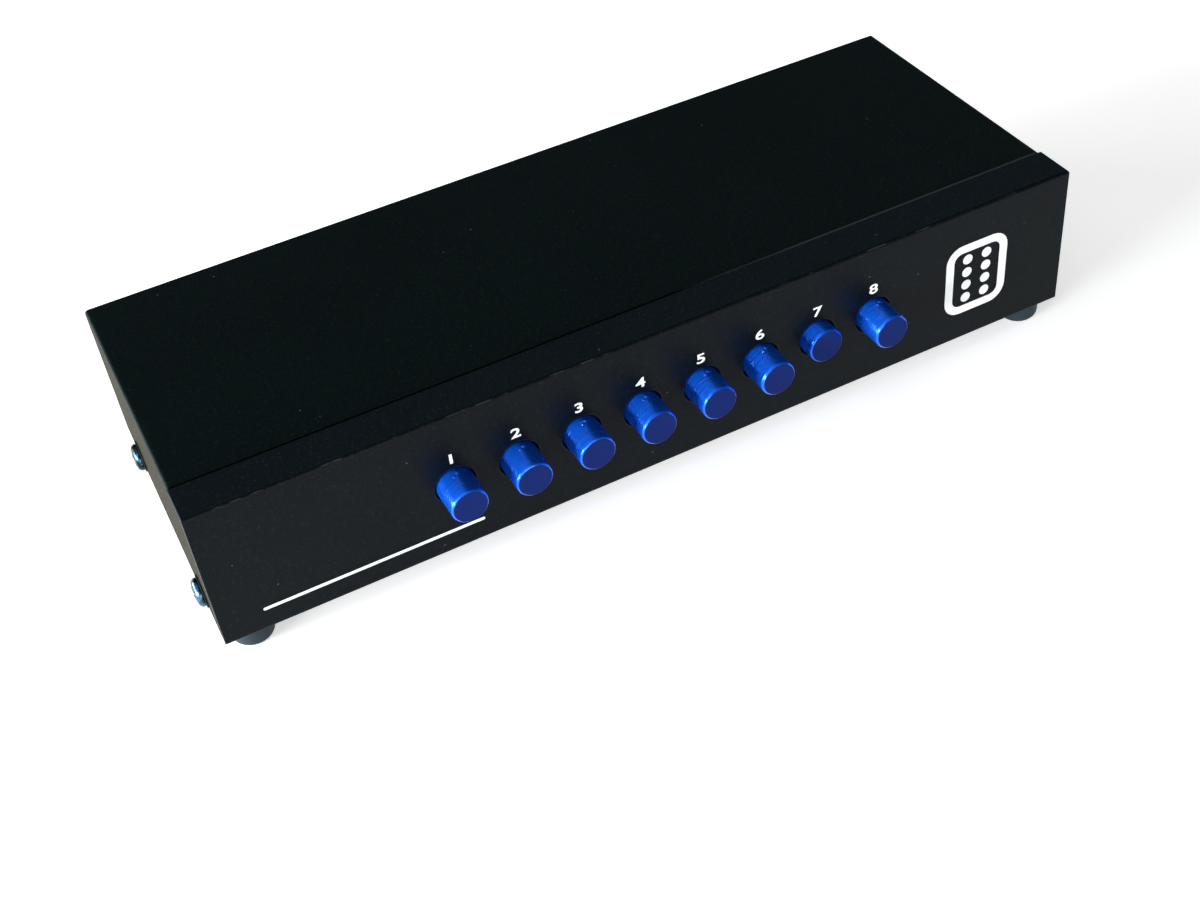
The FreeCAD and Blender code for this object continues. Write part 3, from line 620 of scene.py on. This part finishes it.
def softened(node, radius, finish=1):
    """A copy of a CAD node's mesh with its sharp edges eased, and those edges given one of its finishes."""
    bm = bmesh.new()
    bm.from_mesh(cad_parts[node].data)
    bmesh.ops.remove_doubles(bm, verts=bm.verts, dist=0.000001)
    bmesh.ops.dissolve_limit(
        bm, angle_limit=math.radians(FLAT_BEND), verts=bm.verts, edges=bm.edges,
        use_dissolve_boundaries=False,
    )
    for face in bm.faces:
        face.material_index = 0
    surface = BVHTree.FromBMesh(bm)
    low, high = box(node)
    bmesh.ops.bevel(
        bm, geom=edges_bent_over(bm, EASED_BEND), offset=radius, offset_type="OFFSET",
        segments=3, profile=0.5, affect="EDGES", clamp_overlap=False, material=finish,
    )
    for vert in bm.verts:
        nearest, _, _, distance = surface.find_nearest(vert.co)
        outside = any(vert.co[axis] < low[axis] or vert.co[axis] > high[axis] for axis in range(3))
        if outside or distance > radius / 2:
            vert.co = nearest
    return bm


def repaint(finish, *nodes):
    """Gives CAD nodes a finish."""
    for node in nodes:
        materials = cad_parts[node].data.materials
        for index in range(len(materials)):
            materials[index] = finish


def cut_away(bm, cutters):
    """The solid without the cutters, as a new bmesh."""
    made = []
    for index, source in enumerate([bm] + cutters):
        mesh = bpy.data.meshes.new("cutting %d" % index)
        bmesh.ops.recalc_face_normals(source, faces=source.faces)
        source.to_mesh(mesh)
        source.free()
        made.append(in_scene(mesh.name, mesh))
    for cutter in made[1:]:
        step = made[0].modifiers.new("cut", "BOOLEAN")
        step.operation = "DIFFERENCE"
        step.solver = "EXACT"
        step.object = cutter
    left = bmesh.new()
    depsgraph = bpy.context.evaluated_depsgraph_get()
    left.from_mesh(made[0].evaluated_get(depsgraph).to_mesh())
    for item in made:
        mesh = item.data
        bpy.data.objects.remove(item)
        bpy.data.meshes.remove(mesh)
    return left


def tapered_bar(length, width, low, high, taper):
    """A bar across the z axis that narrows from its top down."""
    bm = bmesh.new()
    levels = []
    for height, share in ((low, taper), (high, 1.0)):
        half_x = length / 2 * share * MM
        half_y = width / 2 * share * MM
        corners = ((-half_x, -half_y), (half_x, -half_y), (half_x, half_y), (-half_x, half_y))
        levels.append([bm.verts.new((x, y, height * MM)) for x, y in corners])
    bm.faces.new(reversed(levels[0]))
    bm.faces.new(levels[1])
    for side in range(4):
        following = (side + 1) % 4
        bm.faces.new((levels[0][side], levels[0][following], levels[1][following], levels[1][side]))
    return bm


def pan_head(radius, height, washer_radius=0.0, washer=0.0, segments=40):
    """A screw's head with a cross recess, its seat at the origin and its top along z."""
    neck = 0.12
    base = 0.0
    profile = [(0.0, 0.0, 0.0)]
    if washer:
        base = washer + neck
        profile += [(washer_radius, 0.0, 0.0), (washer_radius, washer, 0.12)]
        profile += [(radius * 0.93, washer, 0.0), (radius * 0.93, base, 0.05)]
    top = washer + height
    profile += [
        (radius, base, 0.1),
        (radius, base + height * 0.28, 0.25),
        (radius * 0.86, top - height * 0.22, 0.35),
        (radius * 0.5, top - height * 0.03, 0.4),
        (0.0, top, 0.0),
    ]
    bm = bmesh.new()
    turned(bm, profile, Matrix.Identity(4), segments)
    bars = []
    for angle in (0.0, math.pi / 2):
        bar = tapered_bar(radius * 1.3, radius * 0.36, top - height * 0.62, top + 0.3, 0.62)
        bmesh.ops.rotate(bar, cent=(0, 0, 0), matrix=Matrix.Rotation(angle, 3, "Z"), verts=bar.verts)
        bars.append(bar)
    head = cut_away(bm, bars)
    bmesh.ops.bevel(
        head, geom=edges_bent_over(head, RECESS_BEND), offset=0.035 * MM, segments=2, profile=0.5,
        affect="EDGES", clamp_overlap=True,
    )
    return head


def copied(bm, model, places, turns):
    """Adds a model to a bmesh at each place, turned about its own axis by that place's angle."""
    mesh = bpy.data.meshes.new("model")
    model.to_mesh(mesh)
    for place, turn in zip(places, turns):
        copy = mesh.copy()
        copy.transform(place @ Matrix.Rotation(turn, 4, "Z"))
        bm.from_mesh(copy)
        bpy.data.meshes.remove(copy)
    bpy.data.meshes.remove(mesh)
    model.free()


def inked(bm, outline, place, thickness, at=(0.0, 0.0), hole=None, finish=0):
    """Prints a filled outline, or the band between an outline and its hole, on a panel."""
    loops = []
    for loop in (outline, hole) if hole else (outline,):
        levels = []
        for level in (0.0, thickness):
            spots = [Vector(((x + at[0]) * MM, (y + at[1]) * MM, level)) for x, y in loop]
            levels.append([bm.verts.new(place @ spot) for spot in spots])
        loops.append(levels)
    count = len(outline)
    faces = []
    if hole:
        (outer_low, outer_high), (inner_low, inner_high) = loops
        for k in range(count):
            n = (k + 1) % count
            faces.append(bm.faces.new((outer_high[k], outer_high[n], inner_high[n], inner_high[k])))
            faces.append(bm.faces.new((outer_low[k], outer_low[n], inner_low[n], inner_low[k])))
    else:
        faces.append(bm.faces.new(loops[0][1]))
        faces.append(bm.faces.new(loops[0][0]))
    for low, high in loops:
        for k in range(count):
            n = (k + 1) % count
            faces.append(bm.faces.new((low[k], low[n], high[n], high[k])))
    for face in faces:
        face.material_index = finish


def numeral(bm, text, height, place, thickness):
    """Prints a plain wide numeral, centred on a place."""
    height_in_font = 0.72
    curve = bpy.data.curves.new("numeral", "FONT")
    curve.body = text
    curve.size = height / height_in_font
    curve.align_x = "CENTER"
    curve.align_y = "CENTER"
    curve.offset = height * 0.03
    curve.extrude = thickness / 2
    item = in_scene("numeral", curve)
    depsgraph = bpy.context.evaluated_depsgraph_get()
    mesh = bpy.data.meshes.new_from_object(item.evaluated_get(depsgraph))
    widened = Matrix.Diagonal((1.35, 1.0, 1.0, 1.0))
    mesh.transform(place @ Matrix.Translation((0, 0, thickness / 2)) @ widened)
    bm.from_mesh(mesh)
    bpy.data.meshes.remove(mesh)
    bpy.data.objects.remove(item)
    bpy.data.curves.remove(curve)


def build_case(looks):
    """The chassis and the cover, whose sheared edges have the same thin coat."""
    edge = powder_coat("powder coat, thin edge", looks.bare_edge, gloss=0.2)
    build_chassis(looks, edge)
    build_cover(looks, edge)


def build_chassis(looks, edge):
    coat = powder_coat("powder coat, chassis", looks.chassis_coat)
    # Pale flecks on the front fold: partly worn chips, partly a painted highlight along the fold
    fold = powder_coat("powder coat, front fold", looks.chassis_coat, wear_and_highlight_flecks=shaded(looks.bare_edge, 2.5))
    # Painted light: the front strip is the chassis coat painted lighter, for the light that falls on it
    strip = powder_coat("powder coat, front strip with painted light", shaded(looks.chassis_coat, 2.2))
    finishes = (coat, edge, fold, strip)
    bm = softened("chassis", looks.edge_radius)
    top = box("chassis")[1].z - HAIR * MM
    for face in bm.faces:
        # the front fold gets the flecks of wear and painted highlight
        if face.normal.y < -FOLD_SLOPE and face.normal.z > FOLD_SLOPE:
            face.material_index = finishes.index(fold)
        # the strip's top gets the coat with painted light
        elif face.normal.z > SQUARE_ON and face.calc_center_median().z > top:
            face.material_index = finishes.index(strip)
    make_piece("folded_chassis", bm, finishes, "case", ("chassis",), even_flats=True)


def build_cover(looks, edge):
    coat = powder_coat("powder coat, cover", looks.cover_coat)
    # painted shade, and a painted highlight, for the seam beside the front strip
    dark = shaded(looks.cover_coat, 0.15)
    seam = seam_shadow("powder coat, painted seam shade", dark, pale=shaded(looks.bare_edge, 3.5))
    # painted sheen on the cover's sides
    sides = powder_coat(
        "powder coat, sides with painted sheen", looks.side_coat, gloss=0.025, extra_roughness=0.25, mottling=0.2,
    )
    finishes = (coat, edge, seam, sides)
    bm = softened("cover", looks.edge_radius)
    darken_seam(bm, looks.seam_width, finishes.index(seam))
    for face in bm.faces:
        # the cover's sides get the coat with painted sheen
        if abs(face.normal.x) > SQUARE_ON and face.material_index == finishes.index(coat):
            face.material_index = finishes.index(sides)
    make_piece("folded_cover", bm, finishes, "case", ("cover",), even_flats=True)


def darken_seam(bm, width, finish):
    """Gives the edge of the roof beside the chassis's front strip the finish of a seam with painted shade and
    a painted highlight.
    """
    margin = 0.3 * MM
    depth = 1.2 * MM
    roof = box("cover")[1].z
    start = min(vert.co.y for vert in bm.verts if vert.co.z > roof - HAIR * MM)
    end = start + width
    geometry = bm.verts[:] + bm.edges[:] + bm.faces[:]
    bmesh.ops.bisect_plane(bm, geom=geometry, plane_co=(0.0, end, 0.0), plane_no=REARWARD)
    for face in bm.faces:
        middle = face.calc_center_median()
        if start - margin < middle.y < end and middle.z > roof - depth:
            face.material_index = finish


def build_case_screws(looks):
    low, high = box("side_screws")
    low, high = low / MM, high / MM
    washer_radius = (high.z - low.z) / 2
    half_width = box("cover")[1].x / MM
    model = pan_head(washer_radius - WASHER_RIM, high.x - half_width - WASHER, washer_radius, WASHER)
    places = []
    for side in (-1, 1):
        for y in (low.y + washer_radius, high.y - washer_radius):
            places.append(facing((side * half_width, y, low.z + washer_radius), (side, 0, 0)))
    bm = bmesh.new()
    copied(bm, model, places, (0.5, 1.2, 0.2, 0.9))
    washer_face = half_width + WASHER + 0.05
    for face in bm.faces:
        face.material_index = int(abs(face.calc_center_median().x) < washer_face * MM)
    head = blackened_metal("blackened screw", looks.black_screw)
    plate = moulded_plastic("washer", shaded(looks.black_screw, 0.3), 0.5, gloss=0.1)
    make_piece("case_screw_heads", bm, (head, plate), "case", ("side_screws",))


def build_feet(looks):
    finish = rubber("foot rubber", looks.rubber)
    for node in FEET:
        low, high = box(node)
        radius = (high.x - low.x) / 2 / MM
        height = (high.z - low.z) / MM
        place = facing((middle_of(node).x, middle_of(node).y, 0.0), UPWARD, up=REARWARD)
        profile = (
            (FOOT_WELL, 0.0, 0.25),
            (radius - 1.0, 0.0, 0.3),
            (radius - 0.16, 1.0, 0.7),
            (radius, height - 0.35, 0.1),
            (radius - 0.12, height, 0.05),
            (FOOT_BORE, height, 0.0),
            (FOOT_BORE, FOOT_WELL_DEPTH, 0.1),
            (FOOT_WELL, FOOT_WELL_DEPTH, 0.15),
        )
        bm = bmesh.new()
        turned(bm, profile, place, 64, closed=True)
        make_piece("rubber_" + node, bm, (finish,), "case", (node,))


def build_buttons(looks):
    side = turned_plastic("blue cap side", looks.blue, 0.19, gloss=0.8, metallic=0.62)
    # the faces' darker blue is painted shade
    front = moulded_plastic(
        "blue cap face, painted shade", looks.dull_blue, 0.45, gloss=0.07, texture=0.12, texture_scale=2600.0,
    )
    for number in BUTTONS:
        node = "button_cap_%d" % number
        low, high = box(node)
        middle = middle_of(node)
        length = (high.y - low.y) / MM
        radius = (high.x - low.x) / 2 / MM
        place = facing((middle.x, high.y / MM, middle.z), FORWARD)
        profile = (
            (CAP_SOCKET, CAP_RECESS, 0.0),
            (radius - CAP_WALL, CAP_RECESS, 0.15),
            (radius - CAP_WALL, 0.0, 0.1),
            (radius, 0.0, 0.12),
            (radius - 0.04, 2.2, 0.4),
            (radius - 0.15, length - 0.46, 0.22),
            (radius - 0.61, length, 0.2),
            (radius - 0.85, length, 0.0),
            (2.6, length - 0.02, 0.3),
            (0.0, length - 0.035, 0.0),
        )
        bm = bmesh.new()
        turned(bm, profile, place, looks.segments)
        # the face of each cap gets the painted shade
        for face in bm.faces:
            face.material_index = int(face.calc_center_median().y < low.y + CAP_FACE_DEPTH * MM)
        add_gate_marks(bm, place, looks.nub / MM, radius - 0.07, number)
        make_piece("blue_cap_%d" % number, bm, (side, front), "button_%d" % number, (node,))


def add_gate_marks(bm, place, nub, radius, number):
    """Two low nubs on top of a cap, near the panel, where the moulding gate was cut."""
    for along, turn, share in GATE_MARKS:
        angle = math.pi / 2 + turn + 0.06 * math.sin(number * 2.1)
        away = Vector((math.cos(angle), math.sin(angle), 0.0))
        spot = Vector((radius * away.x, radius * away.y, along)) * MM
        seat = place @ Matrix.Translation(spot) @ away.to_track_quat("Z", "Y").to_matrix().to_4x4()
        size = nub * share
        dome = ((size * 1.5, -0.05, 0.0), (size * 1.1, 0.10, 0.1), (size * 0.5, 0.20, 0.1), (0.0, 0.22, 0.0))
        turned(bm, dome, seat, 16)


def jacks():
    """Every jack as (column, place on the rear panel, is it an output), with video as column 0."""
    found = []
    for block in JACK_BLOCKS:
        is_output = block == OUTPUT_BLOCK
        for row in (LOW_ROW,) if is_output else (LOW_ROW, HIGH_ROW):
            for column in range(3):
                x = middle_of(block).x + (1 - column) * JACK_PITCH
                found.append((column, on_rear(x, row), is_output))
    return found


def build_jack_blocks():
    finish = moulded_plastic("jack moulding", (0.012, 0.013, 0.014), 0.32, gloss=0.35, texture=0.3)
    for node in JACK_BLOCKS:
        name = node.replace("jack_block", "jack_moulding")
        bm = softened(node, 0.12 * MM, finish=0)
        make_piece(name, bm, (finish,), "case", (node,), even_flats=True)


def sleeve_profile(collar, reach):
    """A plated sleeve, from its root in the moulding to its rolled lip and back along its bore."""
    return (
        (SLEEVE_ROOT, collar, 0.0),
        (SLEEVE_RADIUS, collar, 0.03),
        (SLEEVE_RADIUS, reach - 1.5, 0.0),
        (SLEEVE_RADIUS - 0.04, reach - 1.2, 0.1),
        (SLEEVE_RADIUS, reach - 0.75, 0.15),
        (SLEEVE_RADIUS, reach, 0.34),
        (LIP_MOUTH, reach, 0.30),
        (LIP_MOUTH, reach - 0.62, 0.12),
        (SLEEVE_BORE, reach - 0.7, 0.0),
        (SLEEVE_BORE, -SLEEVE_DEPTH, 0.0),
        (SLEEVE_ROOT, -SLEEVE_DEPTH, 0.0),
    )


def build_sleeves(looks):
    """The plated sleeves with their rolled lips, one piece for each node."""
    finish = turned_metal("nickel plate", looks.nickel, 0.16, 100.0)
    for node, wanted, stand in (
        ("input_jack_barrels", False, INPUT_STAND), ("output_jack_barrels", True, OUTPUT_STAND),
    ):
        bm = bmesh.new()
        for _, place, is_output in jacks():
            if is_output == wanted:
                turned(bm, sleeve_profile(*stand), place, looks.segments, closed=True)
        make_piece("nickel_" + node, bm, (finish,), "case", (node,))


def ring_profile(collar, reach):
    """A moulded ring in a sleeve, which goes down to the collar and rounds over into its hole."""
    return (
        (RING_HOLE, collar, 0.0),
        (RING_RADIUS, collar, 0.0),
        (RING_RADIUS, reach - 0.75, 0.0),
        (RING_SHOULDER, reach - 0.75, 0.0),
        (RING_SHOULDER, reach - 0.62, 0.10),
        (2.35, reach - 0.60, 0.12),
        (2.05, reach - 0.72, 0.10),
        (RING_HOLE, reach - 1.0, 0.20),
    )


def build_rings(looks):
    """The coloured rings in the mouths of the jacks."""
    kinds = (
        ("video", looks.yellow, "insert_yellow"),
        ("left", looks.white, "insert_white"),
        ("right", looks.red, "insert_red"),
    )
    # Painted shade: the mouth of each ring, round its hole, is painted near black
    shade = moulded_plastic("ring mouth, painted shade", (0.006, 0.006, 0.006), 0.5, gloss=0.1)
    for wanted, (channel, colour, slot) in enumerate(kinds):
        finish = moulded_plastic(channel + " ring", colour, 0.34, gloss=0.25, texture=0.15)
        bm = bmesh.new()
        for column, place, is_output in jacks():
            if column != wanted:
                continue
            profile = ring_profile(*(OUTPUT_STAND if is_output else INPUT_STAND))
            for face in turned(bm, profile, place, looks.segments, closed=True):
                off_axis = (face.calc_center_median() - place.translation) * Vector((1.0, 0.0, 1.0))
                # faces near the hole get the painted shade
                face.material_index = int(off_axis.length < RING_MOUTH * MM)
        make_piece(channel + "_rings", bm, (finish, shade), "case", (channel + "_jack_inserts",))


def build_jack_screws():
    places = []
    turns = []
    for block in JACK_BLOCKS:
        for side in (-1, 1):
            x = middle_of(block).x + side * JACK_PITCH / 2
            places.append(on_rear(x, SCREW_ROW))
            turns.append(0.7 + 1.3 * math.sin(x))
    bm = bmesh.new()
    copied(bm, pan_head(JACK_SCREW_RADIUS, JACK_SCREW_HEIGHT), places, turns)
    finish = plated_metal("yellow zinc", (0.66, 0.56, 0.36), (0.60, 0.60, 0.58), 0.2)
    make_piece("jack_screw_heads", bm, (finish,), "case", ("jack_screws",))


def build_front_print(looks):
    """Numerals over the buttons, a plain rule, and a plain mark of eight dots."""
    bm = bmesh.new()
    ink = looks.thickness
    panel = on_front(0.0, 0.0)
    for number in BUTTONS:
        place = on_front(middle_of("button_cap_%d" % number).x, NUMERAL_ROW)
        numeral(bm, str(number), looks.front_numeral, place, ink)
    left, right = RULE_SPAN
    rule = rounded_outline(right - left, RULE_THICKNESS, RULE_ENDS)
    inked(bm, rule, panel, ink, ((left + right) / 2, RULE_HEIGHT))
    width, height = MARK_SIZE
    outer = rounded_outline(width, height, MARK_CORNER)
    inner = rounded_outline(width - 2 * MARK_BAND, height - 2 * MARK_BAND, MARK_CORNER - MARK_BAND)
    inked(bm, outer, panel, ink, MARK_MIDDLE, inner)
    for row in range(DOT_ROWS):
        for column in range(DOT_COLUMNS):
            x = MARK_MIDDLE[0] + (column - (DOT_COLUMNS - 1) / 2) * DOT_PITCH[0]
            z = MARK_MIDDLE[1] + (row - (DOT_ROWS - 1) / 2) * DOT_PITCH[1]
            inked(bm, circle_outline(DOT_RADIUS), panel, ink, (x, z))
    finish = printed_ink("white ink", looks.ink)
    make_piece("front_print", bm, (finish,), "case")


def build_rear_print(looks):
    finishes = (
        printed_ink("grey-white ink", looks.ink),
        printed_ink("label ink", looks.label),
        printed_ink("dark ink", (0.02, 0.022, 0.024)),
    )
    bm = bmesh.new()
    print_input_marks(bm, looks.rear_numeral, looks.thickness)
    print_labels(bm, looks.thickness, label_finish=1, dot_finish=2)
    print_bracket(bm, looks.thickness)
    make_piece("rear_print", bm, finishes, "case")


def print_input_marks(bm, height, ink):
    """A numeral and a pointer beside each row of inputs."""
    for pair, block in enumerate(INPUT_BLOCKS):
        x = middle_of(block).x - INPUT_MARK_OFFSET
        for row, z in enumerate(INPUT_MARK_ROWS):
            numeral(bm, str(2 * pair + row + 1), height, on_rear(x - NUMERAL_SHIFT, z), ink)
            inked(bm, POINTER, on_rear(x + POINTER_SHIFT, z), ink)


def print_labels(bm, ink, label_finish, dot_finish):
    """A short rule under the video jacks, and a plain box with two dots under the audio jacks."""
    for block in JACK_BLOCKS:
        x = middle_of(block).x
        inked(bm, rounded_outline(*VIDEO_RULE, VIDEO_ENDS), on_rear(x + JACK_PITCH, LABEL_ROW), ink)
        audio = on_rear(x - JACK_PITCH / 2, LABEL_ROW)
        inked(bm, rounded_outline(*AUDIO_LABEL, AUDIO_CORNER), audio, ink, finish=label_finish)
        for side in (-1, 1):
            spot = (side * JACK_PITCH / 2, 0.0)
            inked(bm, circle_outline(LABEL_DOT), audio, ink * 1.8, spot, finish=dot_finish)


def print_bracket(bm, ink):
    """The output's box with an arrow, its two arms, and a leg down to each jack."""
    bracket = on_rear(middle_of(OUTPUT_BLOCK).x, BRACKET_ROW)
    line = BRACKET_LINE
    ends = line * 0.2
    width, height = BRACKET_BOX
    outer = rounded_outline(width, height, BRACKET_CORNER)
    inner = rounded_outline(width - 2 * line, height - 2 * line, BRACKET_CORNER - line)
    inked(bm, outer, bracket, ink, hole=inner)
    inked(bm, BRACKET_ARROW, bracket, ink)
    drop = BRACKET_ROW - BRACKET_FOOT
    arm = JACK_PITCH - width / 2
    leg = drop + line / 2
    for side in (-1, 1):
        inked(bm, rounded_outline(arm + line, line, ends), bracket, ink, (side * (width + arm) / 2, 0.0))
        inked(bm, rounded_outline(line, leg, ends), bracket, ink, (side * JACK_PITCH, -leg / 2))
    middle_leg = drop - height / 2
    inked(bm, rounded_outline(line, middle_leg, ends), bracket, ink, (0.0, -height / 2 - middle_leg / 2))


def dress_inner_parts():
    """Finishes for the pieces inside the case, which keep their CAD shapes."""
    zinc = plated_metal("bright zinc", (0.62, 0.64, 0.66), (0.52, 0.55, 0.60), 0.25)
    brass = plated_metal("brass", (0.62, 0.43, 0.16), (0.52, 0.36, 0.15), 0.24)
    # Painted shade: brass painted dark for the shade inside the jacks' holes
    brass_in_painted_shade = plated_metal("brass, painted dark for shade", (0.17, 0.12, 0.05), (0.11, 0.08, 0.04), 0.3)
    tin = plated_metal("tin plate", (0.70, 0.70, 0.69), (0.60, 0.61, 0.62), 0.22)
    spring = turned_metal("spring wire", (0.55, 0.55, 0.54), 0.22, 50.0)
    black = moulded_plastic("switch moulding", (0.014, 0.014, 0.015), 0.4, gloss=0.35)
    white = moulded_plastic("plunger moulding", (0.74, 0.72, 0.66), 0.35, gloss=0.4)
    repaint(zinc, "foot_screws", "board_screws", "bank_frame", "latch_bar")
    repaint(brass, "standoffs")
    # the jack contacts get the brass with painted shade
    repaint(brass_in_painted_shade, "jack_contacts")
    repaint(tin, "switch_terminals", *("moving_contacts_%d" % number for number in BUTTONS))
    repaint(spring, "latch_bar_spring", *("return_spring_%d" % number for number in BUTTONS))
    repaint(black, "switch_bodies")
    repaint(white, *("plunger_%d" % number for number in BUTTONS))
    repaint(circuit_laminate("circuit board"), "main_board")


def build_floor(looks):
    bm = bmesh.new()
    bmesh.ops.create_grid(bm, x_segments=24, y_segments=24, size=6.0)
    mesh = bpy.data.meshes.new("floor")
    bm.to_mesh(mesh)
    bm.free()
    mesh.materials.append(floor_paint("floor paint", looks.floor, looks.floor_lift))
    floor = in_scene("floor", mesh)


def add_lamp(name, place, size, power, target=(0.0, 0.0, 0.02), colour=(1.0, 1.0, 1.0)):
    data = bpy.data.lights.new(name, "AREA")
    data.shape = "RECTANGLE"
    data.size, data.size_y = size
    data.energy = power
    data.color = colour
    lamp = in_scene(name, data)
    lamp.location = place
    aim = Vector(target) - Vector(place)
    lamp.rotation_mode = "QUATERNION"
    lamp.rotation_quaternion = aim.to_track_quat("-Z", "Y")


def light_studio():
    """A long low window at the left, and weak lamps that fill the other sides."""
    add_lamp("window", (-1.45, -0.14, 0.22), (1.0, 0.26), 66.0, colour=(0.93, 0.97, 1.0))
    add_lamp("front fill", (-0.25, -1.25, 0.22), (1.2, 0.3), 10.0)
    add_lamp("rear left fill", (-1.20, 0.60, 0.30), (0.8, 0.3), 16.0)
    add_lamp("rear right fill", (1.45, 0.30, 0.15), (0.8, 0.3), 4.0)
    add_lamp("ceiling", (-0.60, -0.20, 1.60), (1.4, 1.4), 6.0, target=(0.0, 0.0, 0.0))


def light_world(looks):
    """A dim room, lighter at the horizon, that the camera itself sees as white."""
    world = bpy.data.worlds.new("studio")
    bpy.context.scene.world = world
    sky = Shading(world)
    direction = sky.node("ShaderNodeTexCoord", output="Generated")
    height = sky.node("ShaderNodeSeparateXYZ", None, {0: direction}, "Z")
    ends = {"From Min": 0.20, "From Max": 0.58, "To Min": looks.horizon, "To Max": looks.zenith}
    smooth = {"interpolation_type": "SMOOTHSTEP"}
    room = sky.node("ShaderNodeMapRange", smooth, {"Value": height, **ends}, "Result")
    seen = sky.node("ShaderNodeLightPath", output="Is Camera Ray")
    white = {"Color": (1.0, 1.0, 1.0, 1.0), "Strength": room.at_least(seen)}
    sky.node("ShaderNodeOutputWorld", None, {"Surface": sky.node("ShaderNodeBackground", None, white)})


def place_camera(looks):
    data = bpy.data.cameras.new("camera")
    data.sensor_width = 36.0
    data.lens = looks.lens
    data.shift_x, data.shift_y = looks.shift
    data.clip_start = 0.01
    camera = in_scene("camera", data)
    turn = (
        Matrix.Rotation(looks.azimuth, 4, "Z")
        @ Matrix.Rotation(math.pi / 2 - looks.elevation, 4, "X")
        @ Matrix.Rotation(looks.roll, 4, "Z")
    )
    camera.matrix_world = Matrix.Translation(looks.camera_place) @ turn
    bpy.context.scene.camera = camera


class SELECTOR_OT_case(Operator):
    """Replace the chassis and cover by coated sheet with eased edges"""

    bl_idname = "selector.case"
    bl_label = "Case"

    def execute(self, context):
        build_case(context.scene.selector_case)
        return {"FINISHED"}


class SELECTOR_OT_case_screws(Operator):
    """Put detailed screw heads on the case's sides"""

    bl_idname = "selector.case_screws"
    bl_label = "Case screws"

    def execute(self, context):
        build_case_screws(context.scene.selector_case)
        return {"FINISHED"}


class SELECTOR_OT_feet(Operator):
    """Put moulded rubber feet under the case"""

    bl_idname = "selector.feet"
    bl_label = "Feet"

    def execute(self, context):
        build_feet(context.scene.selector_case)
        return {"FINISHED"}


class SELECTOR_OT_buttons(Operator):
    """Put moulded caps on the push buttons"""

    bl_idname = "selector.buttons"
    bl_label = "Buttons"

    def execute(self, context):
        build_buttons(context.scene.selector_buttons)
        return {"FINISHED"}


class SELECTOR_OT_jacks(Operator):
    """Build the mouldings, sleeves, rings and screws of the jacks"""

    bl_idname = "selector.jacks"
    bl_label = "Jacks"

    def execute(self, context):
        looks = context.scene.selector_jacks
        build_jack_blocks()
        build_sleeves(looks)
        build_rings(looks)
        build_jack_screws()
        return {"FINISHED"}


class SELECTOR_OT_front_print(Operator):
    """Print the front panel"""

    bl_idname = "selector.front_print"
    bl_label = "Front print"

    def execute(self, context):
        build_front_print(context.scene.selector_print)
        return {"FINISHED"}


class SELECTOR_OT_rear_print(Operator):
    """Print the rear panel"""

    bl_idname = "selector.rear_print"
    bl_label = "Rear print"

    def execute(self, context):
        build_rear_print(context.scene.selector_print)
        return {"FINISHED"}


class SELECTOR_OT_inner_parts(Operator):
    """Give the pieces inside the case their finishes"""

    bl_idname = "selector.inner_parts"
    bl_label = "Inner parts"

    def execute(self, context):
        dress_inner_parts()
        return {"FINISHED"}


class SELECTOR_OT_stage(Operator):
    """Set up the floor, the world, the lamps and the camera"""

    bl_idname = "selector.stage"
    bl_label = "Stage"

    def execute(self, context):
        looks = context.scene.selector_stage
        build_floor(looks)
        light_world(looks)
        light_studio()
        place_camera(looks)
        context.scene.view_settings.view_transform = "Standard"
        return {"FINISHED"}


class SELECTOR_PT_panel(Panel):
    """Lists the steps that dress the selector box"""

    bl_idname = "SELECTOR_PT_panel"
    bl_label = "Selector Box"
    bl_space_type = "VIEW_3D"
    bl_region_type = "UI"
    bl_category = "Selector Box"

    def draw(self, context):
        for step in STEPS:
            self.layout.operator(step.bl_idname)


SETTINGS = {
    "selector_case": CaseLooks,
    "selector_print": PrintLooks,
    "selector_buttons": ButtonLooks,
    "selector_jacks": JackLooks,
    "selector_stage": StageLooks,
}
STEPS = (
    SELECTOR_OT_case,
    SELECTOR_OT_case_screws,
    SELECTOR_OT_feet,
    SELECTOR_OT_buttons,
    SELECTOR_OT_jacks,
    SELECTOR_OT_front_print,
    SELECTOR_OT_rear_print,
    SELECTOR_OT_inner_parts,
    SELECTOR_OT_stage,
)


def register():
    for group in SETTINGS.values():
        bpy.utils.register_class(group)
    for step in STEPS:
        bpy.utils.register_class(step)
    bpy.utils.register_class(SELECTOR_PT_panel)
    for name, group in SETTINGS.items():
        setattr(bpy.types.Scene, name, PointerProperty(type=group))


def unregister():
    for name in SETTINGS:
        delattr(bpy.types.Scene, name)
    bpy.utils.unregister_class(SELECTOR_PT_panel)
    for step in reversed(STEPS):
        bpy.utils.unregister_class(step)
    for group in reversed(SETTINGS.values()):
        bpy.utils.unregister_class(group)


def main():
    register()
    bpy.ops.selector.case()
    bpy.ops.selector.case_screws()
    bpy.ops.selector.feet()
    bpy.ops.selector.buttons()
    bpy.ops.selector.jacks()
    bpy.ops.selector.front_print()
    bpy.ops.selector.rear_print()
    bpy.ops.selector.inner_parts()
    bpy.ops.selector.stage()


if __name__ == "__main__":
    main()
